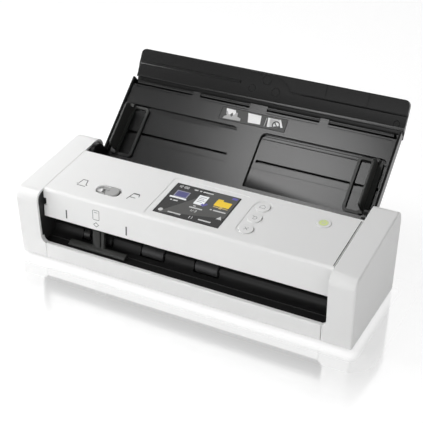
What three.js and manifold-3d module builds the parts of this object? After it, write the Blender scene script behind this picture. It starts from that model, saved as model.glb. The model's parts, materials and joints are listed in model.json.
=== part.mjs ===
// Desktop document scanner with a fold-back lid, a tilting front cover and a card-and-paper exit slot.
// Millimetres, +X right, +Y to the back, +Z up. The origin is the centre of the body's underside.
import * as THREE from 'three';
import { mergeVertices } from 'three/addons/utils/BufferGeometryUtils.js';
import Module from 'manifold-3d';

const wasm = await Module();
wasm.setup();

// Driving dimensions of the body
const bodyWidth = 300;
const bodyDepth = 103;
const capFrontHeight = 61.4;
const capTopSlopeDeg = 8.5;
const capFrontBottomInset = 6;
const capFrontRadius = 9;
const capBackRadius = 10;
const capWidth = 21.7;
const capWall = 2.2;
const capEdgeSoftening = 1.6;
const seamGap = 0.4;
const pieceGap = 0.3;
const cutOverrun = 5;
const roundSegments = 20;
const smallRoundSegments = 12;
const cornerSteps = 4;

// Slot between the front strip and the front cover
const slotFloorHeight = 14.7;
const stripInset = 3.9;
const stripWall = 2.2;
const stripReturn = 4;
const slotCornerRadius = 5;

// Front cover
const coverFrontInset = 10.2;
const coverFaceBottom = 36.9;
const coverLength = 64.8;
const coverWall = 2.4;
const coverCreaseRadius = 3;
const coverEdgeRadius = 1.2;
const coverBackLip = 4.6;
const coverBottomLip = 5;
const coverPivotY = -36.2;
const coverPivotZ = 51.2;
const coverPivotRadius = 2.4;
const coverRibInset = 2.4;
const coverRibWall = 2.2;
const coverRibBottom = 42;
const coverRibFoot = 16;
const notchHeight = 6.5;

// Lid, its lean when open and its hinge
const lidLeanDeg = 44.1;
const lidBaseY = 48.5;
const lidBaseZ = 60;
const lidSideGap = 0.7;
const lidThickness = 7;
const lidShellWall = 1.4;
const lidTail = 11;
const lidPanelStart = -6;
const lidPanelTop = 71.8;
const lidShellTop = 78;
const lidBackTop = 75.3;
const lidRimWidth = 2;
const lidRimRise = 1.5;
const lidPivotY = 35.5;
const lidPivotZ = 65;
const lidPinRadius = 3;
const lidPinReach = 7;
const earRadius = 9.5;
const earArcDeg = 195;
const earWall = 4;
const earRoot = 12;

// Recessed paper bays of the lid's inner panel
const bayInnerX = 11.2;
const bayInset = 3.2;
const bayBottom = 1.2;
const bayTop = 52.6;
const bayDepth = 2.6;
const bayCornerRadius = 5;
const bayFloorWall = 1.2;
const channelAt = 26.5;
const channelWidth = 2.6;

// Flap at the lid's top edge and the swing-out paper arm in it
const flapHingeAt = 75.4;
const flapHingeDepth = 2.6;
const flapBendDeg = 22;
const flapHeight = 31;
const flapSetback = 4;
const flapThickness = 4;
const flapLipAt = 4.8;
const flapLipRadius = 0.8;
const flapFlare = 0.95;
const flapFlareAt = 7.8;
const flapTopRound = 1.6;
const flapTail = 2.4;
const flapTailWall = 1.6;
const flapWeb = 1.6;
const flapCornerRadius = 5;
const flapBarrelRadius = 2.3;
const flapNubReach = 1.4;
const flapNubAt = 17.8;
const flapNubLength = 4.4;
const flapNubWidth = 1.9;
const flapPinRadius = 1.1;
const centreLugHalf = 8.3;
const sideLugInner = 56.9;
const sideLugOuter = 64.9;
const lugRadius = 2.5;
const lugFlat = 1.1;
const barrelGap = 0.4;
const barrelInset = 5.8;
const armPivotX = 0;
const armPivotAt = 24.7;
const armHalfHeight = 6.1;
const armThickness = 2.4;
const armPinRadius = 2;
const armClearance = 0.4;
const armSkin = 1.1;
const armArcX = 6.8;
const armArcAt = 10.8;
const armArcRadius = 17.4;
const armHeelRadius = 8.8;
const grooveEnd = 24;
const grooveBelow = 1.1;
const grooveAbove = 1.6;
const grooveDepth = 1.2;
const windowLineAt = 69.5;
const windowLineWidth = 0.7;
const windowLineDepth = 0.6;

// Paper guides on the lid
const guideInset = 3;
const guideWidth = 21.8;
const guideBottom = 1.8;
const guideTop = 51;
const guidePlate = 2;
const guideBar = 2.4;
const guideBand = 7.4;
const guideCornerRadius = 4;
const guideWallInset = 5.2;
const guideWallThickness = 1.8;
const guideWallHeight = 13.4;
const guideWallFoot = 0.6;
const guideWallAxis = 0.9;
const guideWallCornerRadius = 3.5;
const guideLugLength = 3;
const guideLugHalf = 1.7;
const guidePinRadius = 0.6;
const guidePinLength = 2;
const guideFootHalf = 1;
const guideFootInset = 0.8;
const rackThickness = 1.2;
const rackBack = 2.6;
const rackReach = 13;
const rackTeethStart = -84;
const pinionTeeth = 12;
const pinionModule = 1;
const pinionPinRadius = 1.4;
const plateLeft = -32;
const plateRight = 30;
const plateBottom = 56.5;
const plateTop = 68;
const plateThickness = 0.4;
const plateRecess = 0.6;

// Control panel
const screenHalfWidth = 29;
const screenNear = 9.3;
const screenFar = 52.3;
const screenGlass = 2.2;
const bezelMargin = 5.5;
const bezelDepth = 0.3;
const moduleMargin = 2;
const moduleThickness = 4;
const buttonX = 49.6;
const buttonRows = [48.1, 32.5, 17];
const buttonRadius = 5.9;
const buttonRise = 0.5;
const buttonTravel = 0.8;
const buttonFlange = 1.1;
const buttonFlangeThickness = 0.6;
const buttonStemRadius = 2.2;
const buttonStemEnd = 4.9;
const buttonPanelMargin = 2.4;
const buttonPanelDepth = 0.3;
const powerInset = 26.6;
const powerAt = 47.8;
const leverX = -75.7;
const leverAt = 18.8;
const leverRecessLength = 23.5;
const leverRecessWidth = 12.5;
const leverRecessDepth = 1.4;
const leverKnobX = -72.3;
const leverKnobLength = 11.4;
const leverKnobRise = 0.4;
const leverKnobRadius = 5;
const leverRibWidth = 1.4;
const leverRibRise = 0.6;
const leverTravel = 8;
const leverStemWidth = 3;
const leverStemDepth = 6;
const leverFootWidth = 8;
const leverFootDepth = 10;
const leverFootThickness = 1.2;
const boardThickness = 1.6;
const boardDrop = 7.6;
const boardNear = 6;
const boardFar = 58;
const boardLeft = -36;
const boardOverhang = 8.7;
const boardPostRadius = 2.4;
const boardPostInset = 4;
const switchRadius = 2.6;
const switchGap = 0.4;

// Base frame
const floorThickness = 2.4;
const sidePlate = 2.2;
const floorFrontInset = 5.8;
const rearCoverWall = 2.4;
const rearCoverTop = 47.6;
const rearCoverLip = 4;
const coverStubReach = 5.6;

// Paper path: the lower surfaces from the slot to the lid, and the upper guide in the front cover
const chuteSideGap = 0.2;
const rearChuteInset = 5.7;
const chuteWall = 1.8;
const chuteLegWall = 1.8;
const slotLipDrop = 0.4;
const slotStepY = -34.6;
const slotStepRise = 0.9;
const slotCurveY = -35;
const slotCurveZ = 24;
const slotCurveRadius = 8.2;
const slotCurveFromDeg = -88;
const slotCurveToDeg = -15;
const slotEdgeY = -24.2;
const slotEdgeZ = 22.7;
const slotEdgeRadius = 3;
const slotEdgeFromDeg = 165;
const slotEdgeToDeg = 85;
const pathFlatFrontY = -12.3;
const pathFlatBackY = 2.3;
const pathFlatZ = 26.7;
const pathSplitY = 8;
const pathSplitZ = 27.6;
const pathFeedY = 12.4;
const pathFeedZ = 28.7;
const pathRiseY = 17;
const pathRiseZ = 31.2;
const pathThroatY = 23;
const pathThroatZ = 35.6;
const pathLidDepth = 0.6;
const pathLidStart = -25;
const pathLidEnd = -7.5;
const legBackY = 21;
const upperLipZ = 36.7;
const upperRampY = -27;
const upperRampZ = 31.6;
const upperFlatY = -20;
const upperPathGap = 3;
const upperRiseY = 9;
const upperRiseZ = 31.4;
const upperBendY = 15;
const upperBendZ = 34.2;
const upperNipY = 20;
const upperNipZ = 38.6;
const upperWallY = 22.2;
const upperWallZ = 43.4;
const upperEndY = 20.4;
const upperEndZ = 65.6;

// Rollers: distance from the shaft to the path, shafts and widths
const ejectY = -24;
const ejectZ = 20.8;
const ejectRollerRadius = 5.6;
const feedY = 12;
const feedZ = 21.9;
const feedRollerRadius = 7.2;
const pickY = 31;
const pickZ = 31;
const pickRollerRadius = 9;
const separationRollerRadius = 7;
const rollerContactGap = 0.2;
const shaftRadius = 2.5;
const shaftClearance = 0.25;
const shaftOverhang = 2;
const windowMargin = 1.6;
const ejectRollers = [[-31, 20], [18.5, 20]];
const cardRollerInsets = [11.4, 32.6];
const cardRollerWidth = 6;
const feedRollers = [[-46, 18], [46, 18]];
const pickRollers = [[-14, 16], [14, 16]];
const separationWidth = 26;
const separationShaftRadius = 1.6;
const separationTabWall = 2;
const separationTabRadius = 4.6;

// Gear train inside the right cap
const gearModule = 1;
const gearWidth = 4;
const gearSideGap = 2;
const feedTeeth = 14;
const pickTeeth = 14;
const ejectTeeth = 14;
const pickIdlerTeeth = 12;
const ejectIdlerTeeth = 23;
const motorTeeth = 10;
const motorAngleDeg = -18;
const idlerPinRadius = 2;
const motorRadius = 10;
const motorLength = 34;
const motorShaftRadius = 1.5;

// Scan bars
const barInset = 16.1;
const barEndGap = 0.3;
const barHeight = 12;
const glassInset = 2;
const glassMargin = 2.5;
const glassThickness = 1.8;

// Rear ports and main board
const mainBoardHeight = 8;
const mainBoardFront = 14;
const mainBoardInset = 24.8;
const mainBoardRight = 42;
const hostPortAt = 24;
const hostPortWidth = 14.5;
const hostPortHeight = 7;
const portDepth = 13;
const usbPortAt = 52;
const usbPortWidth = 9;
const usbPortHeight = 4;
const portShell = 0.6;
const inletAt = 78;
const inletWidth = 11;
const inletHeight = 11;
const inletBore = 3;
const inletPin = 0.9;
const portTongue = 1.6;
const lockSlotInset = 39.9;
const lockSlotWidth = 7;
const lockSlotHeight = 3;
const lockSlotZ = 20;
const portInset = 0.5;
const socketDepth = 9;

// Feet and screws
const footRadius = 7;
const footSink = 0.7;
const footDrop = 1.5;
const footSideInset = 32;
const footFrontInset = 20.5;
const footRearInset = 13.5;
const screwHeadRadius = 2.6;
const screwHeadHeight = 1;
const screwShankRadius = 1.2;
const screwLength = 9;
const screwSideInset = 8.5;
const screwRearInset = 17.5;
const bossRadius = 3;
const bossHeight = 12;
const bossRib = 2;

// Card guide in the slot
const cardGuideInset = 22.3;
const cardGuideWidth = 55;
const cardGuideHeight = 3.4;
const cardPostInset = 22.5;
const cardPostWidth = 11;
const cardPostDepth = 3;
const cardPostTop = 33.5;
const cardPostGrooveShare = 0.62;
const cardPostGroove = 1.2;

// Values that follow from the ones above
const halfWidth = bodyWidth / 2;
const halfDepth = bodyDepth / 2;
const topSlope = THREE.MathUtils.degToRad(capTopSlopeDeg);
const lidLean = THREE.MathUtils.degToRad(lidLeanDeg);
const capInnerX = halfWidth - capWidth;
const sidePlateInnerX = capInnerX + seamGap;
const coverHalfWidth = capInnerX - seamGap;
const coverFrontY = -halfDepth + coverFrontInset;
const slotFrontY = -halfDepth + capFrontBottomInset * (1 - slotFloorHeight / capFrontHeight);
const gearInnerX = sidePlateInnerX + sidePlate + gearSideGap;
const stripHalfWidth = capInnerX - stripInset;
const lidHalfWidth = capInnerX - lidSideGap;
const bayOuterX = lidHalfWidth - bayInset;
const guideOuterX = bayOuterX - guideInset;
const guideInnerX = guideOuterX - guideWidth;
const guideWallX = guideOuterX - guideWallInset;
const flapHalfWidth = lidHalfWidth;
const flapInner = -flapSetback;
const flapOuter = flapInner - flapThickness;
const barrelEnd = flapHalfWidth - barrelInset;
const armReach = flapHalfWidth;
const powerX = coverHalfWidth - powerInset;
const boardRight = powerX + boardOverhang;
const lowerChuteHalfWidth = capInnerX - chuteSideGap;
const rearChuteHalfWidth = capInnerX - rearChuteInset;
const barHalfWidth = lowerChuteHalfWidth - barInset;
const barFront = pathFlatFrontY + barEndGap;
const barBack = pathFlatBackY - barEndGap;
const glassHalfWidth = barHalfWidth - glassInset;
const glassFront = barFront + glassMargin;
const glassBack = barBack - glassMargin;
const mainBoardLeft = -rearChuteHalfWidth + chuteLegWall + mainBoardInset;
const hostPortX = mainBoardLeft + hostPortAt;
const usbPortX = mainBoardLeft + usbPortAt;
const inletX = mainBoardLeft + inletAt;
const lockSlotX = coverHalfWidth - lockSlotInset;
const footX = halfWidth - footSideInset;
const footFrontY = -halfDepth + footFrontInset;
const footRearY = halfDepth - footRearInset;
const screwX = halfWidth - screwSideInset;
const screwY = halfDepth - screwRearInset;
const cardGuideLeft = -capInnerX + cardGuideInset;
const cardGuideRight = cardGuideLeft + cardGuideWidth;
const cardPostLeft = cardGuideLeft + cardPostInset;
const cardPostRight = cardPostLeft + cardPostWidth;
const cardRollers = cardRollerInsets.map((inset) => [cardGuideLeft + inset, cardRollerWidth]);

const fullTurn = Math.PI * 2;

// Turns a closed geometry into a solid that can be joined and cut
function toSolid(geometry) {
  const plain = geometry.index ? geometry.toNonIndexed() : geometry.clone();
  plain.deleteAttribute('normal');
  plain.deleteAttribute('uv');
  const welded = mergeVertices(plain, 1e-4);
  const mesh = new wasm.Mesh({
    numProp: 3,
    vertProperties: new Float32Array(welded.attributes.position.array),
    triVerts: new Uint32Array(welded.index.array),
  });
  return new wasm.Manifold(mesh);
}

// Turns a solid back into a geometry with flat faces
function toGeometry(solid) {
  const mesh = solid.getMesh();
  const geometry = new THREE.BufferGeometry();
  geometry.setAttribute('position', new THREE.BufferAttribute(new Float32Array(mesh.vertProperties), 3));
  geometry.setIndex(new THREE.BufferAttribute(new Uint32Array(mesh.triVerts), 1));
  geometry.computeVertexNormals();
  return geometry;
}

function join(first, ...others) {
  let solid = toSolid(first);
  for (const other of others) {
    solid = solid.add(toSolid(other));
  }
  return toGeometry(solid);
}

function cut(body, ...tools) {
  let solid = toSolid(body);
  for (const tool of tools) {
    solid = solid.subtract(toSolid(tool));
  }
  return toGeometry(solid);
}

function common(first, second) {
  return toGeometry(toSolid(first).intersect(toSolid(second)));
}

// A box between two corners
function block(x0, x1, y0, y1, z0, z1) {
  const geometry = new THREE.BoxGeometry(x1 - x0, y1 - y0, z1 - z0);
  geometry.translate((x0 + x1) / 2, (y0 + y1) / 2, (z0 + z1) / 2);
  return geometry;
}

// Corner points [a, b, radius] become an outline whose corners are arcs
function roundedPoints(corners) {
  const points = [];
  corners.forEach((corner, i) => {
    const here = new THREE.Vector2(corner[0], corner[1]);
    const radius = corner[2] ?? 0;
    if (radius === 0) {
      points.push(here);
      return;
    }
    const before = corners[(i + corners.length - 1) % corners.length];
    const after = corners[(i + 1) % corners.length];
    const back = new THREE.Vector2(before[0], before[1]).sub(here).normalize();
    const ahead = new THREE.Vector2(after[0], after[1]).sub(here).normalize();
    const half = Math.acos(THREE.MathUtils.clamp(back.dot(ahead), -1, 1)) / 2;
    const centre = back.clone().add(ahead).normalize().multiplyScalar(radius / Math.sin(half)).add(here);
    const start = back.multiplyScalar(radius / Math.tan(half)).add(here).sub(centre);
    const end = ahead.multiplyScalar(radius / Math.tan(half)).add(here).sub(centre);
    const from = start.angle();
    let sweep = end.angle() - from;
    if (sweep > Math.PI) sweep -= fullTurn;
    if (sweep < -Math.PI) sweep += fullTurn;
    for (let k = 0; k <= cornerSteps; k += 1) {
      const angle = from + (sweep * k) / cornerSteps;
      points.push(new THREE.Vector2(Math.cos(angle), Math.sin(angle)).multiplyScalar(radius).add(centre));
    }
  });
  return points;
}

function outline(corners) {
  return new THREE.Shape(roundedPoints(corners));
}

// Extrudes an outline drawn in (y, z) along X
function prism(corners, x0, x1) {
  const geometry = new THREE.ExtrudeGeometry(outline(corners), { depth: x1 - x0, bevelEnabled: false });
  geometry.applyMatrix4(new THREE.Matrix4().set(0, 0, 1, x0, 1, 0, 0, 0, 0, 1, 0, 0, 0, 0, 0, 1));
  return geometry;
}

// Extrudes an outline drawn in (x, y) along Z
function slab(corners, z0, z1) {
  const geometry = new THREE.ExtrudeGeometry(outline(corners), { depth: z1 - z0, bevelEnabled: false });
  geometry.translate(0, 0, z0);
  return geometry;
}

// A rectangle's four corners with one radius
function rectangle(x0, x1, y0, y1, radius = 0) {
  return [[x0, y0, radius], [x1, y0, radius], [x1, y1, radius], [x0, y1, radius]];
}

// A round bar along X
function bar(radius, x0, x1, y, z, segments = roundSegments) {
  const geometry = new THREE.CylinderGeometry(radius, radius, x1 - x0, segments);
  geometry.rotateZ(Math.PI / 2);
  geometry.translate((x0 + x1) / 2, y, z);
  return geometry;
}

// A round post along Z
function post(radius, x, y, z0, z1, segments = roundSegments) {
  const geometry = new THREE.CylinderGeometry(radius, radius, z1 - z0, segments);
  geometry.rotateX(Math.PI / 2);
  geometry.translate(x, y, (z0 + z1) / 2);
  return geometry;
}

// The outline of a band of even thickness to the left of an open line of points
function ribbon(line, thickness) {
  const offset = line.map((point, i) => {
    const before = line[Math.max(i - 1, 0)];
    const after = line[Math.min(i + 1, line.length - 1)];
    const into = new THREE.Vector2(point[0] - before[0], point[1] - before[1]);
    const out = new THREE.Vector2(after[0] - point[0], after[1] - point[1]);
    const first = (into.length() > 0 ? into : out).clone().normalize();
    const second = (out.length() > 0 ? out : into).clone().normalize();
    const along = first.clone().add(second).normalize();
    const reach = thickness / Math.max(along.dot(first), 0.5);
    return [point[0] - along.y * reach, point[1] + along.x * reach];
  });
  return [...line, ...offset.reverse()];
}

// Points of an arc, first and last included
function arcPoints(centreA, centreB, radius, fromDeg, toDeg, steps) {
  const points = [];
  for (let k = 0; k <= steps; k += 1) {
    const angle = THREE.MathUtils.degToRad(fromDeg + ((toDeg - fromDeg) * k) / steps);
    points.push([centreA + Math.cos(angle) * radius, centreB + Math.sin(angle) * radius]);
  }
  return points;
}

// The outline of a spur gear about its own centre, with its first tooth at the given angle
function gearCorners(teeth, module, phase) {
  const pitchRadius = (teeth * module) / 2;
  const pitchAngle = fullTurn / teeth;
  const rootRadius = pitchRadius - toothRootShare * module;
  const tipRadius = pitchRadius + toothTipShare * module;
  const corners = [];
  for (let k = 0; k < teeth; k += 1) {
    const middle = phase + k * pitchAngle;
    for (const [radius, share] of [
      [rootRadius, -toothBaseShare],
      [tipRadius, -toothCrestShare],
      [tipRadius, toothCrestShare],
      [rootRadius, toothBaseShare],
    ]) {
      const angle = middle + share * pitchAngle;
      corners.push([Math.cos(angle) * radius, Math.sin(angle) * radius]);
    }
  }
  return corners;
}

const toothRootShare = 1.2;
const toothTipShare = 0.85;
const toothBaseShare = 0.29;
const toothCrestShare = 0.1;

// Mirrors a geometry from right to left and keeps its faces pointing out
function mirrored(geometry) {
  const flipped = (geometry.index ? geometry.toNonIndexed() : geometry.clone()).scale(-1, 1, 1);
  const place = flipped.attributes.position;
  for (let i = 0; i < place.count; i += 3) {
    const [ax, ay, az] = [place.getX(i), place.getY(i), place.getZ(i)];
    place.setXYZ(i, place.getX(i + 1), place.getY(i + 1), place.getZ(i + 1));
    place.setXYZ(i + 1, ax, ay, az);
  }
  flipped.computeVertexNormals();
  return flipped;
}

// Extrudes an outline drawn in (x, z) along Y
function frontPrism(corners, y0, y1) {
  const geometry = new THREE.ExtrudeGeometry(outline(corners), { depth: y1 - y0, bevelEnabled: false });
  geometry.rotateX(Math.PI / 2);
  geometry.translate(0, y1, 0);
  return geometry;
}

// Side profile of the body
const topRise = Math.tan(topSlope);
const frontLean = capFrontBottomInset / capFrontHeight;

function bodyFrontY(z, inset = 0) {
  return -halfDepth + inset + capFrontBottomInset - frontLean * z;
}

function bodyTopZ(y, inset = 0) {
  return capFrontHeight + (y + halfDepth) * topRise - inset / Math.cos(topSlope);
}

// The body's side profile, drawn in by an inset and closed at a given bottom height
function bodyProfile(inset, bottom) {
  const drop = inset / Math.cos(topSlope);
  const cornerRise = capFrontHeight + (inset + capFrontBottomInset) * topRise - drop;
  const cornerZ = cornerRise / (1 + frontLean * topRise);
  const backY = halfDepth - inset;
  return [
    [bodyFrontY(bottom, inset), bottom],
    [bodyFrontY(cornerZ, inset), cornerZ, capFrontRadius - inset],
    [backY, bodyTopZ(backY, inset), capBackRadius - inset],
    [backY, bottom],
  ];
}

// A point given in the open lid's own frame: along the lid, then out of its inner face
function lidPoint(along, out) {
  return [
    lidBaseY + along * Math.cos(lidLean) - out * Math.sin(lidLean),
    lidBaseZ + along * Math.sin(lidLean) + out * Math.cos(lidLean),
  ];
}

// The lid's pivot in the lid's own frame
const pivotAlong = (lidPivotY - lidBaseY) * Math.cos(lidLean) + (lidPivotZ - lidBaseZ) * Math.sin(lidLean);
const pivotOut = (lidPivotZ - lidBaseZ) * Math.cos(lidLean) - (lidPivotY - lidBaseY) * Math.sin(lidLean);

// The place of an idler that meshes with two gears, below the line between their shafts
function idlerPlace(a, radiusA, b, radiusB, radius) {
  const reachA = radiusA + radius;
  const reachB = radiusB + radius;
  const across = new THREE.Vector2(b[0] - a[0], b[1] - a[1]);
  const span = across.length();
  const share = (reachA * reachA - reachB * reachB + span * span) / (2 * span);
  const drop = Math.sqrt(Math.max(reachA * reachA - share * share, 0));
  across.normalize();
  return [a[0] + across.x * share + across.y * drop, a[1] + across.y * share - across.x * drop];
}

// The phase of a gear that meshes with a gear of a known phase
function meshPhase(from, to, teethFrom, teethTo, phaseFrom) {
  const towards = Math.atan2(to[1] - from[1], to[0] - from[0]);
  return towards + Math.PI - (teethFrom / teethTo) * (phaseFrom - towards) + Math.PI / teethTo;
}

const feedPlace = [feedY, feedZ];
const pickPlace = [pickY, pickZ];
const ejectPlace = [ejectY, ejectZ];
const pitchRadius = (teeth) => (teeth * gearModule) / 2;
const pickIdlerPlace = idlerPlace(
  feedPlace, pitchRadius(feedTeeth), pickPlace, pitchRadius(pickTeeth), pitchRadius(pickIdlerTeeth));
const ejectIdlerPlace = idlerPlace(
  ejectPlace, pitchRadius(ejectTeeth), feedPlace, pitchRadius(feedTeeth), pitchRadius(ejectIdlerTeeth));
const motorReach = pitchRadius(pickIdlerTeeth) + pitchRadius(motorTeeth);
const motorAngle = THREE.MathUtils.degToRad(motorAngleDeg);
const motorPlace = [
  pickIdlerPlace[0] + Math.cos(motorAngle) * motorReach,
  pickIdlerPlace[1] + Math.sin(motorAngle) * motorReach,
];
const pickIdlerPhase = meshPhase(feedPlace, pickIdlerPlace, feedTeeth, pickIdlerTeeth, 0);
const pickPhase = meshPhase(pickIdlerPlace, pickPlace, pickIdlerTeeth, pickTeeth, pickIdlerPhase);
const ejectIdlerPhase = meshPhase(feedPlace, ejectIdlerPlace, feedTeeth, ejectIdlerTeeth, 0);
const ejectPhase = meshPhase(ejectIdlerPlace, ejectPlace, ejectIdlerTeeth, ejectTeeth, ejectIdlerPhase);
const motorPhase = meshPhase(pickIdlerPlace, motorPlace, pickIdlerTeeth, motorTeeth, pickIdlerPhase);

// Nodes are collected here with their colours
const colours = {
  white: { color: 0xf0f0ee, roughness: 0.42, metalness: 0 },
  whiteButton: { color: 0xe9e9e7, roughness: 0.38, metalness: 0 },
  lever: { color: 0xc9cac8, roughness: 0.4, metalness: 0 },
  black: { color: 0x2b2c2b, roughness: 0.55, metalness: 0 },
  chute: { color: 0x1d1e1e, roughness: 0.45, metalness: 0 },
  guide: { color: 0x3b3c3a, roughness: 0.45, metalness: 0 },
  plate: { color: 0x4a4b4a, roughness: 0.5, metalness: 0 },
  rubber: { color: 0x3a3a3c, roughness: 0.8, metalness: 0 },
  steel: { color: 0xb8babd, roughness: 0.3, metalness: 0.9 },
  gear: { color: 0xd8d6cc, roughness: 0.5, metalness: 0 },
  board: { color: 0x1f5a38, roughness: 0.5, metalness: 0 },
  glass: { color: 0x0c0d10, roughness: 0.08, metalness: 0 },
  clearGlass: { color: 0xbfd4d8, roughness: 0.05, metalness: 0 },
};

function mesh(name, geometry, finish) {
  const piece = new THREE.Mesh(geometry, new THREE.MeshStandardMaterial(colours[finish]));
  piece.name = name;
  return piece;
}

// White end cap at the right, with its toe below the slot and its screw boss
function endCapGeometry() {
  const shape = outline(bodyProfile(0, 0));
  const soft = capEdgeSoftening;
  const body = new THREE.ExtrudeGeometry(shape, {
    depth: capWidth + cutOverrun - soft,
    bevelEnabled: true,
    bevelThickness: soft,
    bevelSize: soft,
    bevelOffset: -soft,
    bevelSegments: 2,
  });
  body.applyMatrix4(new THREE.Matrix4().set(0, 0, 1, capInnerX - cutOverrun, 1, 0, 0, 0, 0, 1, 0, 0, 0, 0, 0, 1));
  const inner = block(0, capInnerX, -bodyDepth, bodyDepth, -bodyDepth, bodyDepth);
  const hollow = prism(bodyProfile(capWall, -cutOverrun), 0, halfWidth - capWall);
  const shell = cut(body, inner, hollow);
  const outerWallX = halfWidth - capWall;
  const bossBottom = floorThickness + pieceGap;
  const boss = join(
    post(bossRadius, screwX, screwY, bossBottom, bossHeight, smallRoundSegments),
    block(screwX, outerWallX + capWall / 2, screwY - bossRib / 2, screwY + bossRib / 2, bossBottom, bossHeight));
  const bore = post(screwShankRadius + pieceGap, screwX, screwY, 0, screwLength + pieceGap, smallRoundSegments);
  return cut(join(shell, boss, toeGeometry()), bore);
}

// The cap's toe: it reaches under the slot and rounds the slot's lower corner
function toeGeometry() {
  const toeInnerX = stripHalfWidth + seamGap / 2;
  const centreX = capInnerX - slotCornerRadius;
  const centreZ = slotFloorHeight + slotCornerRadius;
  const endDeg = -THREE.MathUtils.radToDeg(Math.acos((toeInnerX - centreX) / slotCornerRadius));
  const toe = frontPrism(
    [
      [toeInnerX, 0],
      [capInnerX + capWall, 0],
      [capInnerX + capWall, centreZ],
      ...arcPoints(centreX, centreZ, slotCornerRadius, 0, endDeg, cornerSteps),
    ],
    -bodyDepth,
    slotFrontY + stripReturn,
  );
  return common(toe, prism(bodyProfile(0, 0), 0, halfWidth));
}

// White strip below the slot, a channel that follows the body's leaning front
function frontStripGeometry() {
  const bottomY = bodyFrontY(0);
  const topY = bodyFrontY(slotFloorHeight);
  return prism(
    [
      [bottomY, 0, stripWall / 2],
      [bottomY + stripReturn, 0],
      [bottomY + stripReturn, stripWall],
      [bottomY + stripWall, stripWall],
      [topY + stripWall, slotFloorHeight - stripWall],
      [topY + stripReturn, slotFloorHeight - stripWall],
      [topY + stripReturn, slotFloorHeight],
      [topY, slotFloorHeight, stripWall / 2],
    ],
    -stripHalfWidth + seamGap / 2,
    stripHalfWidth - seamGap / 2,
  );
}

// White rear wall with cut-outs for the ports and the lock
function rearCoverGeometry() {
  const innerY = halfDepth - rearCoverWall;
  const wall = prism(
    [
      [innerY, 0],
      [halfDepth, 0],
      [halfDepth, rearCoverTop, rearCoverWall / 2],
      [halfDepth - rearCoverLip, rearCoverTop],
      [halfDepth - rearCoverLip, rearCoverTop - rearCoverWall],
      [innerY, rearCoverTop - rearCoverWall],
    ],
    -coverHalfWidth,
    coverHalfWidth,
  );
  const opening = (x, width, z0, height) => block(
    x - width / 2 - pieceGap, x + width / 2 + pieceGap,
    innerY - cutOverrun, halfDepth + cutOverrun,
    z0 - pieceGap, z0 + height + pieceGap);
  const lock = block(
    lockSlotX - lockSlotWidth / 2, lockSlotX + lockSlotWidth / 2,
    innerY - cutOverrun, halfDepth + cutOverrun,
    lockSlotZ - lockSlotHeight / 2, lockSlotZ + lockSlotHeight / 2);
  return cut(
    wall,
    opening(hostPortX, hostPortWidth, portBottom, hostPortHeight),
    opening(usbPortX, usbPortWidth, portBottom, usbPortHeight),
    opening(inletX, inletWidth, portBottom, inletHeight),
    lock);
}

// Black base frame: the floor, both side plates with their bearings, and the idler and cover pins
function baseFrameGeometry() {
  const floorHalf = halfWidth - capWall - pieceGap;
  const floorFront = bodyFrontY(0) + floorFrontInset;
  const floorBack = halfDepth - rearCoverWall - pieceGap;
  const floorPlate = block(-floorHalf, floorHalf, floorFront, floorBack, 0, floorThickness);
  const toeBack = slotFrontY + stripReturn + pieceGap;
  const plateShape = bodyProfile(capWall + pieceGap, floorThickness / 2);
  const plate = cut(
    prism(plateShape, sidePlateInnerX, sidePlateInnerX + sidePlate),
    block(0, halfWidth, -bodyDepth, toeBack, -cutOverrun, slotFloorHeight + slotCornerRadius + pieceGap),
    ...shaftHoles(),
    bar(lidPinRadius + shaftClearance, 0, halfWidth, lidPivotY, lidPivotZ, smallRoundSegments));
  const stubStart = sidePlateInnerX - coverStubReach;
  const stub = bar(
    coverPivotRadius, stubStart, sidePlateInnerX + sidePlate / 2, coverPivotY, coverPivotZ, smallRoundSegments);
  const right = join(plate, stub);
  const pinEnd = gearInnerX + gearWidth + pieceGap;
  const idlerPins = [pickIdlerPlace, ejectIdlerPlace].map(([y, z]) =>
    bar(idlerPinRadius, sidePlateInnerX + sidePlate / 2, pinEnd, y, z, smallRoundSegments));
  const boardPosts = boardCorners().map(([x, y]) =>
    post(boardPostRadius, x, y, floorThickness / 2, mainBoardHeight - pieceGap, smallRoundSegments));
  const frame = join(floorPlate, right, mirrored(right), ...idlerPins, ...boardPosts);
  const pockets = footPlaces().map(([x, y]) =>
    post(footRadius + pieceGap, x, y, -cutOverrun, footSink + pieceGap));
  const screwHoles = [-screwX, screwX].map((x) =>
    post(screwShankRadius + pieceGap, x, screwY, -cutOverrun, cutOverrun, smallRoundSegments));
  return cut(frame, ...pockets, ...screwHoles);
}

function shaftHoles() {
  const holes = [feedPlace, pickPlace, ejectPlace].map(([y, z]) =>
    bar(shaftRadius + shaftClearance, 0, halfWidth, y, z, smallRoundSegments));
  const [motorY, motorZ] = motorPlace;
  holes.push(bar(motorShaftRadius + shaftClearance, 0, halfWidth, motorY, motorZ, smallRoundSegments));
  return holes;
}

function boardCorners() {
  const back = halfDepth - rearCoverWall - boardPostInset;
  return [mainBoardLeft + boardPostInset, mainBoardRight - boardPostInset].flatMap((x) => [
    [x, mainBoardFront + boardPostInset],
    [x, back - boardPostInset],
  ]);
}

function footPlaces() {
  return [-footX, footX].flatMap((x) => [[x, footFrontY], [x, footRearY]]);
}

// Screw that holds a cap to the frame from below
function capScrewGeometry(x) {
  return join(
    post(screwHeadRadius, x, screwY, -screwHeadHeight - pieceGap / 2, -pieceGap / 2, smallRoundSegments),
    post(screwShankRadius, x, screwY, -screwHeadHeight, screwLength, smallRoundSegments));
}

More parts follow.
